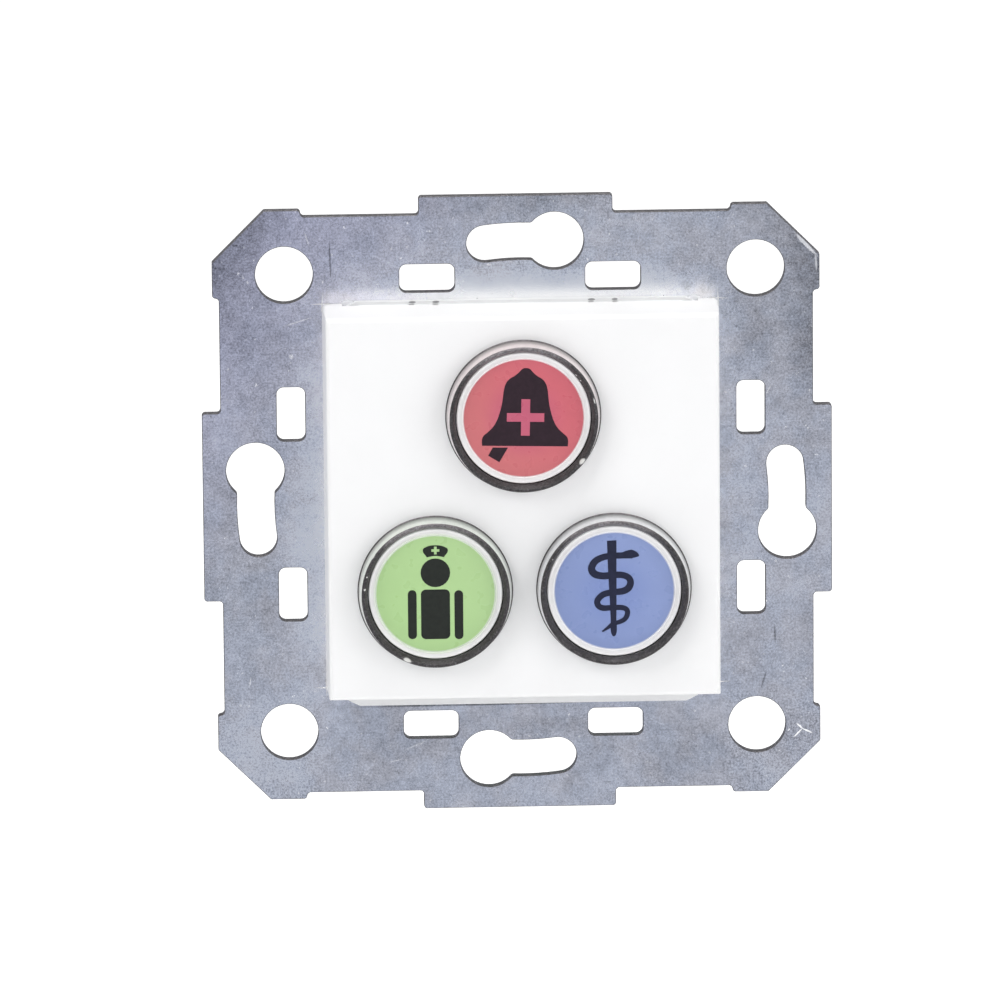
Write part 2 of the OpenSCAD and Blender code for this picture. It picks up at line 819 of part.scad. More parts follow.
module pin_pair(d)
    for (y = [-1, 1]) translate([0, y * pin_offset]) circle(d = d);

module fixed_contacts() color("gold") {
    layer(board_front, pin_top) pin_pair(pin_d);
    layer(board_back, board_front) pin_pair(lead_d);
}

module led() color("azure") {
    layer(block_top, block_top + led_rim_t) circle(d = led_rim_d);
    layer(block_top, block_top + led_h - led_d / 2) circle(d = led_d);
    translate([0, 0, block_top + led_h - led_d / 2]) sphere(d = led_d);
    layer(board_back, block_top) led_leads(lead_d);
}

// Circuit board and terminals

module terminal_places()
    for (i = [0 : terminals - 1])
        translate([(i - (terminals - 1) / 2) * terminal_pitch, terminal_mid]) children();

module circuit_board() color("darkgreen") on_wall() {
    layer(board_back, board_front) difference() {
        rounded([board_size, board_size], board_corner_r);
        for (place = screw_places) translate(place) circle(d = screw_d + 2 * play);
        for (place = [BELL, NURSE, DOCTOR]) translate(place) {
            pin_pair(lead_d + 2 * thread_gap);
            led_leads(lead_d + 2 * thread_gap);
        }
        terminal_places() circle(d = terminal_lead_d + 2 * thread_gap);
    }
}

module board_screws() color("gray") on_wall() {
    for (place = screw_places) translate(place) {
        layer(board_front, board_front + screw_head_t) circle(d = screw_head_d);
        layer(board_front - thread_l, board_front) circle(d = screw_d);
    }
}

module terminal_block() color("mediumseagreen") on_wall() {
    funnel_w = wire_hole + 2 * funnel_rim;
    difference() {
        layer(terminal_end, board_back) translate([0, terminal_mid])
            square([terminal_l, terminal_w], center = true);
        terminal_places() {
            layer(cage_top - cage_h - play, cage_top)
                square([cage_w + 2 * thread_gap, cage_l + 2 * thread_gap], center = true);
            layer(terminal_end - overrun, cage_top - cage_h)
                circle(d = terminal_head_d + 2 * play);
            layer(cage_top - overrun, board_back + overrun)
                circle(d = terminal_lead_d + 2 * thread_gap);
            translate([0, -terminal_w / 2, cage_top - cage_wall - wire_hole / 2]) {
                cube([wire_hole, terminal_w, wire_hole], center = true);
                cube([funnel_w, 2 * funnel_depth, funnel_w], center = true);
            }
        }
        layer(terminal_end - overrun, terminal_end + pole_groove)
            for (i = [1 : terminals - 1])
                translate([(i - terminals / 2) * terminal_pitch, terminal_mid])
                    square([pole_groove_w, terminal_w + overrun], center = true);
    }
}

// Metal cage round each wire, soldered to the board by its lead
module terminal_clamps() color("silver") on_wall() terminal_places() {
    difference() {
        layer(cage_top - cage_h, cage_top) square([cage_w, cage_l], center = true);
        translate([0, 0, cage_top - cage_wall - wire_hole / 2])
            cube([wire_hole, cage_l + 2 * overrun, wire_hole], center = true);
        layer(cage_top - cage_h - overrun, cage_top - cage_wall - wire_hole / 2)
            circle(d = screw_d + 2 * thread_gap);
    }
    layer(cage_top, board_front) circle(d = terminal_lead_d);
}

module terminal_screws() color("gainsboro") on_wall() terminal_places() {
    head_t = screw_head_t;
    head_low = terminal_end + head_t / 3;
    difference() {
        union() {
            layer(head_low, head_low + head_t) circle(d = terminal_head_d);
            layer(head_low + head_t, cage_top - cage_wall - wire_hole / 2) circle(d = screw_d);
        }
        layer(head_low - overrun, head_low + head_t / 2)
            square([terminal_head_d + overrun, slit_w], center = true);
    }
}

mounting_plate();
front_cover();
rear_housing();
circuit_board();
board_screws();
terminal_block();
terminal_clamps();
terminal_screws();
at_button(BELL) bezel_ring();  // bell_bezel_ring
at_button(BELL) lock_nut();  // bell_lock_nut
at_button(BELL) lens_cap();  // bell_lens_cap
at_button(BELL) legend_disc("lightcoral");  // bell_legend_disc
at_button(BELL) plunger();  // bell_plunger
at_button(BELL) return_spring();  // bell_return_spring
at_button(BELL) contact_disc();  // bell_contact_disc
at_button(BELL) contact_block();  // bell_contact_block
at_button(BELL) fixed_contacts();  // bell_fixed_contacts
at_button(BELL) led();  // bell_led
at_button(NURSE) bezel_ring();  // nurse_bezel_ring
at_button(NURSE) lock_nut();  // nurse_lock_nut
at_button(NURSE) lens_cap();  // nurse_lens_cap
at_button(NURSE) legend_disc("palegreen");  // nurse_legend_disc
at_button(NURSE) plunger();  // nurse_plunger
at_button(NURSE) return_spring();  // nurse_return_spring
at_button(NURSE) contact_disc();  // nurse_contact_disc
at_button(NURSE) contact_block();  // nurse_contact_block
at_button(NURSE) fixed_contacts();  // nurse_fixed_contacts
at_button(NURSE) led();  // nurse_led
at_button(DOCTOR) bezel_ring();  // doctor_bezel_ring
at_button(DOCTOR) lock_nut();  // doctor_lock_nut
at_button(DOCTOR) lens_cap();  // doctor_lens_cap
at_button(DOCTOR) legend_disc("lightsteelblue");  // doctor_legend_disc
at_button(DOCTOR) plunger();  // doctor_plunger
at_button(DOCTOR) return_spring();  // doctor_return_spring
at_button(DOCTOR) contact_disc();  // doctor_contact_disc
at_button(DOCTOR) contact_block();  // doctor_contact_block
at_button(DOCTOR) fixed_contacts();  // doctor_fixed_contacts
at_button(DOCTOR) led();  // doctor_led
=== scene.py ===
import math

import bmesh
import bpy
from bpy.props import FloatProperty, FloatVectorProperty, IntProperty, PointerProperty
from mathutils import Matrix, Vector


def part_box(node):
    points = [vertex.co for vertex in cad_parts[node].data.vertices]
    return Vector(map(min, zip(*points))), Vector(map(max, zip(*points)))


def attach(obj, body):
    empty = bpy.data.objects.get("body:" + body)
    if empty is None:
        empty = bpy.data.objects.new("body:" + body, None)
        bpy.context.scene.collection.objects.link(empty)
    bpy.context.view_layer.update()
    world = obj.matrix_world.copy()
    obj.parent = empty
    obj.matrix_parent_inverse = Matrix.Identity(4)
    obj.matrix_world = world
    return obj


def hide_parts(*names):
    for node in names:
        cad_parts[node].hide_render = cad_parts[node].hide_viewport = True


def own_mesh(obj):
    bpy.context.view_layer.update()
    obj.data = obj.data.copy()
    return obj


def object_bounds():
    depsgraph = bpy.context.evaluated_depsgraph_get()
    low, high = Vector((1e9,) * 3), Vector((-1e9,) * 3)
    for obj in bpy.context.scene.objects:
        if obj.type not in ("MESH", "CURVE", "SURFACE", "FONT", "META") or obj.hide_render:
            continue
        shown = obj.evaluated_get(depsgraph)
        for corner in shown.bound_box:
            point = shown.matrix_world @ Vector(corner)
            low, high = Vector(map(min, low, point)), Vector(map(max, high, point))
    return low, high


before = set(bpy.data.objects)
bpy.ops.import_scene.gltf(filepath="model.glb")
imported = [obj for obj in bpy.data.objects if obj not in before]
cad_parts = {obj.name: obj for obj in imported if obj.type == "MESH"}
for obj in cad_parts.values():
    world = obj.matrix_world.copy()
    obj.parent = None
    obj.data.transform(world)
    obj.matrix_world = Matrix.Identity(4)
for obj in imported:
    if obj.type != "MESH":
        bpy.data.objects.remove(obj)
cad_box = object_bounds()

bl_info = {
    "name": "Nurse call unit",
    "version": (1, 0, 0),
    "blender": (4, 5, 0),
    "location": "3D View > Sidebar > Call unit",
    "description": "Dresses the packed three-button nurse call unit: pieces, finishes and studio",
    "category": "Object",
}

MM = 0.001
NEAR = 1e-5  # places closer than this, in metres, are taken as the same
BUTTONS = ("bell", "nurse", "doctor")
FILMS = {"bell": "red_film", "nurse": "green_film", "doctor": "blue_film"}


# Places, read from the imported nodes


def middle(node):
    low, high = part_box(node)
    return (low + high) / 2


def radius(node):
    low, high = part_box(node)
    return (high.x - low.x) / 2


def front(node):
    """How far a node's front stands out of the wall."""
    return -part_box(node)[0].y


def back(node):
    """How far a node's back stands out of the wall, below nought when it is behind it."""
    return -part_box(node)[1].y


# Work in edit mode

MERGE = 2e-6  # points of a CAD copy closer than this, in metres, become one
PRINT_MERGE = 1e-6  # and those of a printed sign
FLAT_ANGLE = math.radians(0.5)  # faces that meet at less become one flat face
BEVEL_ANGLE = math.radians(30)  # edges that are sharper get rounded
SMOOTH_ANGLE = math.radians(50)  # edges that are blunter are shaded smooth


def deselect():
    if bpy.context.mode != "OBJECT":
        bpy.ops.object.mode_set(mode="OBJECT")
    bpy.ops.object.select_all(action="DESELECT")


def pick(piece):
    deselect()
    piece.select_set(True)
    bpy.context.view_layer.objects.active = piece


def edit(piece, kind="FACE"):
    pick(piece)
    bpy.ops.object.mode_set(mode="EDIT")
    bpy.ops.mesh.select_mode(type=kind)
    bpy.ops.mesh.select_all(action="DESELECT")


def select_all(piece, kind="VERT"):
    edit(piece, kind)
    bpy.ops.mesh.select_all(action="SELECT")


def select_faces(piece, wanted):
    """Selects the faces whose middle and normal pass the test."""
    mesh = bmesh.from_edit_mesh(piece.data)
    for face in mesh.faces:
        face.select_set(bool(wanted(face.calc_center_median(), face.normal)))
    bmesh.update_edit_mesh(piece.data)


def apply_place(piece):
    pick(piece)
    bpy.ops.object.transform_apply(location=True, rotation=True, scale=True)


def apply_modifier(piece, kind, **settings):
    pick(piece)
    modifier = piece.modifiers.new(kind.title(), kind)
    for key, value in settings.items():
        setattr(modifier, key, value)
    bpy.ops.object.modifier_apply(modifier=modifier.name)


def soften(piece, width=0.0):
    """Rounds the sharp edges, and shades the piece smooth with its flat faces kept flat."""
    if width:
        apply_modifier(
            piece, "BEVEL", width=width, segments=2, limit_method="ANGLE",
            angle_limit=BEVEL_ANGLE, use_clamp_overlap=False, loop_slide=False)
    pick(piece)
    bpy.ops.object.shade_smooth_by_angle(angle=SMOOTH_ANGLE)
    apply_modifier(piece, "WEIGHTED_NORMAL", keep_sharp=True, weight=100)


def added(name, data):
    """A new object in the scene, with this mesh or curve."""
    piece = bpy.data.objects.new(name, data)
    bpy.context.scene.collection.objects.link(piece)
    return piece


def merged_copy(node, name):
    """A copy of a CAD node with its triangles merged and its flat faces made whole again."""
    piece = added(name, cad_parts[node].data.copy())
    piece.data.materials.clear()
    select_all(piece)
    bpy.ops.mesh.customdata_custom_splitnormals_clear()
    bpy.ops.mesh.remove_doubles(threshold=MERGE)
    bpy.ops.mesh.dissolve_limited(angle_limit=FLAT_ANGLE, use_dissolve_boundaries=False)
    bpy.ops.object.mode_set(mode="OBJECT")
    return piece


def turned(name, centre, stations, segments, ring=True):
    """A piece turned round a button's axis: a circle, extruded and resized through stations of
    (radius, height over the wall), then bridged back to its start or filled at both ends."""
    (r, height), rest = stations[0], stations[1:]
    deselect()
    bpy.ops.mesh.primitive_circle_add(
        vertices=segments, radius=r, location=(centre.x, -height, centre.z),
        rotation=(math.pi / 2, 0, 0))
    piece = bpy.context.object
    piece.name = name
    apply_place(piece)
    select_all(piece, "EDGE")
    for new_r, new_height in rest:
        bpy.ops.mesh.extrude_edges_move(
            TRANSFORM_OT_translate={"value": (0, height - new_height, 0)})
        if new_r != r:
            bpy.ops.transform.resize(
                value=(new_r / r, 1, new_r / r), center_override=(centre.x, -new_height, centre.z))
        r, height = new_r, new_height
    bpy.ops.mesh.select_all(action="DESELECT")
    bpy.ops.mesh.select_non_manifold(extend=False, use_wire=False, use_boundary=True,
                                     use_multi_face=False, use_non_contiguous=False, use_verts=False)
    if ring:
        bpy.ops.mesh.bridge_edge_loops()
    else:
        bpy.ops.mesh.fill_holes(sides=0)
    bpy.ops.mesh.select_all(action="SELECT")
    bpy.ops.mesh.normals_make_consistent(inside=False)
    bpy.ops.object.mode_set(mode="OBJECT")
    return piece


def arc(r, height, size, first, last, steps):
    """Stations round a quarter or more of a small circle, from one angle to another."""
    angles = [math.radians(first + (last - first) * i / steps) for i in range(steps + 1)]
    return [(r + size * math.cos(a), height + size * math.sin(a)) for a in angles]


def copies(model, part, node_part):
    """The finished model of the bell's button, copied to each button with a mesh of its own."""
    start = middle(f"bell_{node_part}")
    made = {}
    for name in BUTTONS:
        made[name] = added(f"{name}_{part}", model.data.copy())
        select_all(made[name])
        bpy.ops.transform.translate(value=middle(f"{name}_{node_part}") - start)
        bpy.ops.object.mode_set(mode="OBJECT")
    bpy.data.objects.remove(model)
    return made


def wear(piece, *looks):
    """Puts finishes in a piece's slots, and leaves its faces on the slots they have."""
    slots = piece.data.materials
    while len(slots) < len(looks):
        slots.append(None)
    for slot, look in enumerate(looks):
        slots[slot] = look.material if look else None
    while len(slots) > len(looks):
        slots.pop()


def settle(piece, body, slot, *nodes):
    """Says which body a piece rides on, and hides the CAD nodes that it stands for. Its slot is not
    used.
    """
    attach(piece, body)
    if nodes:
        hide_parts(*nodes)


def dressed(node, name, width, slot, *looks):
    """A copy of a CAD node that stands for it, with its edges rounded and its finishes on."""
    piece = merged_copy(node, name)
    soften(piece, width)
    wear(piece, *looks)
    settle(piece, "frame", slot, node)
    return piece


# Materials

NOISE_LOW, NOISE_HIGH = 0.3, 0.7  # nearly all of a noise lies between these
MIX_A, MIX_B, MIX_RESULT = 6, 7, 2  # the sockets of a mix node that hold colours
NO_MATTER = 1e6  # a size so large that places along it make no difference


class Finish:
    """One node material. Patterns read Object coordinates, in metres."""

    def __init__(self, name, colour, roughness, metallic=0.0, **sockets):
        self.material = bpy.data.materials.new(name)
        self.material.use_nodes = True
        self.tree = self.material.node_tree
        self.shader = self.tree.nodes["Principled BSDF"]
        self.place = self.node("TexCoord", "Object", {})
        self.relief = None
        self.set(self.shader, "Base Color", (*colour, 1))
        self.set(self.shader, "Roughness", roughness)
        self.set(self.shader, "Metallic", metallic)
        for socket, value in sockets.items():
            self.set(self.shader, socket.replace("_", " "), value)

    def set(self, node, socket, value):
        """Links an output to a node's socket, or puts a number or colour in it."""
        if isinstance(value, bpy.types.NodeSocket):
            self.tree.links.new(value, node.inputs[socket])
        else:
            node.inputs[socket].default_value = value

    def node(self, kind, output, sockets, **fields):
        """Adds a node with its fields and sockets set, and gives one of its outputs."""
        node = self.tree.nodes.new(f"ShaderNode{kind}")
        for field, value in fields.items():
            setattr(node, field, value)
        for socket, value in sockets.items():
            self.set(node, socket, value)
        return node.outputs[output]

    def mapped(self, at=(0, 0, 0), turn=0.0, size=(1, 1, 1)):
        """Coordinates around a point, turned in the wall's plane and measured in size."""
        sockets = {
            "Vector": self.place, "Location": at, "Rotation": (0, turn, 0), "Scale": size}
        return self.node("Mapping", "Vector", sockets, vector_type="TEXTURE")

    def noise(self, feature, detail=3.0, roughness=0.55, vector=None):
        return self.node("TexNoise", "Fac", {
            "Vector": vector or self.place, "Scale": 1 / feature, "Detail": detail,
            "Roughness": roughness})

    def cells(self, feature, vector=None, output="Color"):
        return self.node(
            "TexVoronoi", output, {"Vector": vector or self.place, "Scale": 1 / feature})

    def spot(self, vector):
        """One at the middle of mapped coordinates, falling to nought at a distance of one."""
        return self.node("TexGradient", "Fac", {"Vector": vector}, gradient_type="SPHERICAL")

    def dab(self, mark, y, depth):
        """How near a mark's middle is: one there, and nought at its edge. A mark is its place
        (x, z), length, angle from level and half width, in millimetres and degrees. It lies at
        y and reaches in and out by depth, in metres."""
        (x, z), length, angle, width = mark
        return self.spot(self.mapped(
            (x * MM, y, z * MM), -math.radians(angle), (length / 2 * MM, depth, width * MM)))

    def math(self, operation, a, b=0.0):
        return self.node("Math", "Value", {0: a, 1: b}, operation=operation)

    def fit(self, value, low, high, new_low=0.0, new_high=1.0, smooth=True):
        """A value that runs from low to high, made to run from new_low to new_high."""
        sockets = {
            "Value": value, "From Min": low, "From Max": high, "To Min": new_low,
            "To Max": new_high}
        return self.node(
            "MapRange", "Result", sockets, interpolation_type="SMOOTHSTEP" if smooth else "LINEAR")

    def spread(self, noise, low=0.0, high=1.0):
        """Noise made to run from low to high."""
        return self.fit(noise, NOISE_LOW, NOISE_HIGH, low, high)

    def mix(self, share, a, b, blend="MIX"):
        """Colour a, with b over it by its share."""
        a, b = (c if isinstance(c, bpy.types.NodeSocket) else (*c, 1) for c in (a, b))
        sockets = {"Factor": share, MIX_A: a, MIX_B: b}
        return self.node("Mix", MIX_RESULT, sockets, data_type="RGBA", blend_type=blend)

    def shaded(self, share, colour, dark, light):
        """A colour that drifts between a darker and a lighter shade of itself."""
        return self.mix(share, shade(colour, dark), shade(colour, light))

    def toned(self, colour, tone):
        """A colour made darker or lighter by a grey tone."""
        grey = self.node("CombineColor", "Color", {"Red": tone, "Green": tone, "Blue": tone})
        return self.mix(1.0, colour, grey, "MULTIPLY")

    def axis(self, vector, letter):
        return self.node("SeparateXYZ", letter, {"Vector": vector})

    def distance(self, centre):
        """Distance from an axis that stands out of the wall at a point."""
        flat = self.mapped((centre[0], 0, centre[2]), size=(1, NO_MATTER, 1))
        return self.node("VectorMath", "Value", {0: flat}, operation="LENGTH")

    def distance_to(self, point):
        """Distance from a point."""
        return self.node("VectorMath", "Value", {0: self.place, 1: point}, operation="DISTANCE")

    def colour(self, value):
        self.set(self.shader, "Base Color", value)

    def roughness(self, value):
        self.set(self.shader, "Roughness", value)

    def bump(self, height, depth):
        """Adds relief of a depth in metres on top of what is there."""
        sockets = {"Height": height, "Distance": depth, "Strength": 1.0}
        if self.relief:
            sockets["Normal"] = self.relief
        self.relief = self.node("Bump", "Normal", sockets)
        self.set(self.shader, "Normal", self.relief)


def shade(colour, share):
    return tuple(min(1.0, c * share) for c in colour)


def moulded(name, colour, rough=(0.3, 0.45), mottle=0.03, patch=4 * MM, grain=0.25 * MM,
            depth=0.006 * MM, **sockets):
    """Moulded plastic: faint cloudiness, uneven gloss and the mould's fine grain."""
    made = Finish(name, colour, rough[0], **sockets)
    cloud = made.spread(made.noise(patch, 4))
    made.colour(made.shaded(cloud, colour, 1 - mottle, 1 + mottle))
    made.roughness(made.spread(made.noise(patch / 3, 3), *rough))
    made.bump(made.noise(grain, 2), depth)
    return made


def plated(name, colour, rough=(0.15, 0.35), mottle=0.08, patch=1.5 * MM, brush=(1, 1, 1),
           grain=0.12 * MM, depth=0.002 * MM):
    """Plated or bare metal: uneven tarnish, fine tool marks and small handling marks."""
    made = Finish(name, colour, rough[0], 1.0)
    cloud = made.fit(made.noise(patch, 5, 0.6), 0.35, 0.65)
    made.colour(made.shaded(cloud, colour, 1 - mottle, 1 + mottle))
    lines = made.noise(grain, 3, 0.6, made.mapped(size=brush))
    made.roughness(made.spread(lines, *rough))
    made.bump(lines, depth)
    return made


# Marks on the steel: scratches, specks and wear, with a painted shadow and painted light among
# them. Each is its place (x, z), length, angle from level, half width, all in millimetres and
# degrees, and how much lighter (or darker, below nought) it is
STEEL_WEAR_AND_PAINTED_LIGHT = [
    ((31.35, -26.80), 1.15, -43, 0.12, 1.0),
    ((32.20, -27.36), 1.60, -25, 0.12, 1.0),
    ((31.15, -27.60), 1.80, 45, 0.11, 1.0),
    ((-25.00, 21.10), 4.20, 17, 0.10, 0.35),
    ((-23.90, 30.60), 2.10, -72, 0.10, 0.3),
    ((-21.32, 28.20), 5.60, -88, 0.13, -0.5),
    ((28.55, -15.97), 2.60, -88, 0.14, -0.55),
    ((27.26, -21.36), 2.80, 73, 0.14, -0.45),
    ((-25.80, 17.10), 0.60, 20, 0.35, 0.4),
    ((27.90, 12.40), 1.80, 62, 0.08, 0.3),
    ((-30.90, -20.60), 1.40, 80, 0.10, 0.35),
    ((-14.60, -30.10), 1.90, 12, 0.08, 0.3),
    ((16.80, 30.20), 1.70, -35, 0.08, -0.3),
    ((26.60, 16.60), 9.00, 80, 3.20, -0.13),
    ((18.70, 24.60), 1.60, 15, 0.80, -0.16),
    ((28.80, 10.80), 3.00, 65, 0.90, -0.12),
    ((-31.00, 17.00), 9.00, 80, 2.80, -0.07),
    ((32.20, 29.10), 4.40, -47, 0.26, 0.60),
    ((31.70, 29.60), 0.90, -60, 0.30, 0.55),
    ((33.30, 27.10), 2.60, -86, 0.16, 0.45),
    ((-12.20, -28.30), 3.40, 24, 0.10, 0.22),
    ((-11.40, -28.00), 2.20, 35, 0.09, 0.20),
    # Painted shadow along the foot of the cover's lower lip
    ((0.30, -23.45), 44.0, 0.8, 0.34, -0.62),
    # Painted light at the two ends of the upper lip, over their dark reflections
    ((-19.40, 23.15), 2.20, 0, 0.50, 0.70),
    ((19.55, 23.15), 2.20, 0, 0.50, 0.70),
]

# Wide soft patches of painted light and painted shade on the steel, given in the same way
STEEL_PAINTED_LIGHT_AND_SHADE = [
    ((-34.5, 30.5), 34.0, 62, 9.0, -0.40),
    ((32.0, 31.0), 20.0, -35, 6.5, -0.40),
    ((0.0, 35.0), 46.0, 0, 3.4, -0.22),
    ((-29.0, -27.5), 22.0, 0, 11.0, 0.32),
    ((-23.6, -2.0), 56.0, 90, 4.8, 0.42),
    ((25.5, -3.0), 40.0, 90, 4.5, 0.10),
    ((31.0, -28.0), 14.0, 45, 5.0, -0.10),
    # Painted glow: the cover's reflection just over its top
    ((0.0, 24.3), 54.0, 0, 3.5, 0.55),
    ((0.0, 28.2), 52.0, 0, 4.5, 0.09),
    ((19.1, -29.1), 14.0, 20, 4.5, -0.18),
    ((33.2, 20.8), 30.0, 90, 6.5, -0.46),
    ((26.2, 22.8), 13.0, 90, 5.0, -0.28),
    ((25.3, 34.0), 10.0, 0, 2.6, -0.22),
    ((-30.3, 21.8), 12.0, 0, 4.5, -0.15),
    ((-26.6, -17.5), 15.0, 90, 4.0, 0.13),
    ((2.6, -26.4), 17.0, 0, 2.2, -0.20),
    ((-1.0, -34.8), 24.0, 0, 2.2, 0.10),
    ((33.2, -16.6), 20.0, 90, 3.5, -0.15),
    ((14.5, 25.8), 16.0, 0, 2.8, 0.20),
    ((-18.0, 25.8), 12.0, 0, 2.8, 0.16),
    ((-23.6, 1.0), 14.0, 90, 2.6, -0.11),
]

# Where the steel's finish changes, in metres. Its grain fades in the painted glow, a painted
# reflection of the cover, between the cover's sides just over its top, and is coarser at the
# plate's foot. It is bluer towards one corner, along a line turned so many degrees from level.
PAINTED_GLOW_SIDES = (22 * MM, 24 * MM)
PAINTED_GLOW_RISE = (23.2 * MM, 26.5 * MM)
COARSE_FOOT = (-28 * MM, -20 * MM)
BLUE_CORNER = (-42 * MM, -18 * MM)
BLUE_TURN = 38
PLATE_HALF = 36 * MM
# How far marks and the patches of painted light and shade reach into and out of the sheet
MARK_DEPTH, PAINTED_PATCH_DEPTH = 0.5 * MM, 5 * MM


def galvanised_steel(colour, sheet_front):
    """Zinc on sheet steel: faint spangle, fine grain, light specks, roll lines and scratches, with
    painted light and painted shade in wide soft patches.
    """
    made = Finish("galvanised_steel", colour, 0.28, 1.0)
    x, z = made.axis(made.place, "X"), made.axis(made.place, "Z")
    spangle = made.axis(made.cells(1.6 * MM, made.mapped(size=(1, 1, 1.3))), "X")
    clouds = made.noise(6 * MM, 4)
    flecks = made.noise(0.8 * MM, 3, 0.6)
    grain = made.noise(0.24 * MM, 4, 0.75)
    creases = made.noise(1.3 * MM, 4, 0.6, made.mapped((0.2, 0, 0.1), size=(1, 1, 1.6)))
    rolled = made.noise(0.16 * MM, 2, 0.6, made.mapped(size=(22, 1, 1)))
    pits = made.noise(0.7 * MM, 2, 0.5, made.mapped((0.5, 0, 0.5)))
    hair = made.noise(0.5 * MM, 2, 0.5, made.mapped(turn=math.radians(28), size=(30, 1, 1)))
    dark_hair = made.noise(0.6 * MM, 2, 0.5, made.mapped(turn=math.radians(-63), size=(26, 1, 1)))
    # Where the painted glow lies, the grain fades
    beside = made.fit(made.math("ABSOLUTE", x), *PAINTED_GLOW_SIDES, 1, 0)
    above = made.fit(z, *PAINTED_GLOW_RISE, 0.7, 0)
    glow = made.math("MULTIPLY", beside, above)
    coarse = made.math("SUBTRACT", made.fit(z, *COARSE_FOOT, 1.6, 1.0), glow)
    changes = [
        # Painted shade: the steel darker to the left and lighter to the right
        made.fit(x, -PLATE_HALF, PLATE_HALF, -0.07, 0.04, smooth=False),
        made.fit(spangle, 0, 1, -0.035, 0.035),
        made.spread(clouds, -0.08, 0.08),
        made.spread(flecks, -0.09, 0.09),
        made.math("MULTIPLY", made.spread(grain, -0.28, 0.28), coarse),
        made.fit(rolled, 0.35, 0.65, -0.03, 0.03),
        made.fit(pits, 0.70, 0.80, 0, -0.3),
        made.fit(made.math("ABSOLUTE", made.math("SUBTRACT", creases, 0.5)), 0, 0.022, -0.13, 0),
        made.fit(hair, 0.69, 0.76, 0, 0.12),
        made.fit(dark_hair, 0.70, 0.78, 0, -0.12),
    ]
    bare_and_painted_light = made.fit(made.noise(0.5 * MM, 2, 0.5), 0.69, 0.78, 0, 0.45)
    # Lighter marks add bare zinc, scratches and painted light; darker ones add wear and painted
    # shade
    for *mark, change in STEEL_WEAR_AND_PAINTED_LIGHT:
        share = made.fit(made.dab(mark, -sheet_front, MARK_DEPTH), 0, 0.5, 0, change)
        if change > 0:
            bare_and_painted_light = made.math("MAXIMUM", bare_and_painted_light, share)
        else:
            changes.append(share)
    # Painted light and painted shade in wide soft patches, the painted glow over the cover among
    # them
    for *patch, change in STEEL_PAINTED_LIGHT_AND_SHADE:
        changes.append(made.fit(made.dab(patch, -sheet_front, PAINTED_PATCH_DEPTH), 0, 1, 0, change))
    tone = 1.0
    for change in changes:
        tone = made.math("ADD", tone, change)
    red, green, blue = colour
    warm = (min(1.0, red * 1.04), green, blue * 0.96)
    cool = (red, green * 0.96, min(1.0, blue * 1.06))
    tint = made.mix(made.fit(made.noise(3.5 * MM, 3), 0.35, 0.65), colour, warm)
    aslant = made.axis(made.mapped(turn=math.radians(BLUE_TURN)), "X")
    tint = made.mix(made.fit(aslant, *BLUE_CORNER, 0.8, 0), tint, cool)
    made.colour(made.mix(bare_and_painted_light, made.toned(tint, tone), (0.93, 0.94, 0.96)))
    made.set(made.shader, "Metallic", made.math("SUBTRACT", 1.0, bare_and_painted_light))
    made.roughness(made.spread(clouds, 0.21, 0.29))
    made.bump(grain, 0.006 * MM)
    made.bump(rolled, 0.0012 * MM)
    return made


def sheared_steel(colour):
    """The cut edge of the sheet: torn grey steel, streaked through its thickness."""
    made = Finish("sheared_steel", colour, 0.5, 1.0)
    torn = made.noise(0.25 * MM, 4, 0.65, made.mapped(size=(1, 4, 1)))
    made.colour(made.shaded(made.spread(torn), colour, 0.55, 1.3))
    made.roughness(made.spread(torn, 0.42, 0.6))
    made.bump(torn, 0.02 * MM)
    return made


# Painted glints in the bezels' dark bands: place (x, z), length, angle from level and half width, in
# millimetres and degrees
BEZEL_GLINTS = [
    ((6.50, 6.68), 1.15, 48, 0.30), ((5.90, 16.40), 0.34, -45, 0.12),
    ((6.40, 15.80), 0.22, -45, 0.10), ((-13.32, -15.98), 1.30, -25, 0.28),
    ((-17.10, -4.04), 1.10, 52, 0.14), ((-17.55, -4.60), 0.70, 55, 0.10),
    ((-18.01, -7.76), 0.35, 85, 0.16), ((-17.75, -6.30), 0.24, 70, 0.12),
    ((17.18, -13.05), 0.26, 55, 0.12), ((3.10, -4.60), 0.16, 40, 0.08),
    ((-7.20, 5.10), 0.16, 60, 0.07), ((7.90, 13.60), 0.9, -75, 0.09),
]


def bezel_side(name, tint, foot, crest):
    """Polished chrome that mirrors the cover, with painted shade that darkens it towards the foot
    where it meets the cover.
    """
    made = Finish(name, tint, 0.1, 1.0)
    high = made.math("MULTIPLY", made.axis(made.place, "Y"), -1.0)
    # Painted shade: from a fifth as bright at the foot to full at the top of the painted shade
    clear = made.fit(high, foot, crest, 0.2, 1.0, smooth=False)
    worn = made.spread(made.noise(0.5 * MM, 3, 0.6), 0.94, 1.03)
    made.colour(made.toned(tint, made.math("MULTIPLY", clear, worn)))
    made.roughness(made.spread(made.noise(0.2 * MM, 3), 0.07, 0.14))
    made.bump(made.noise(0.12 * MM, 2), 0.0006 * MM)
    return made


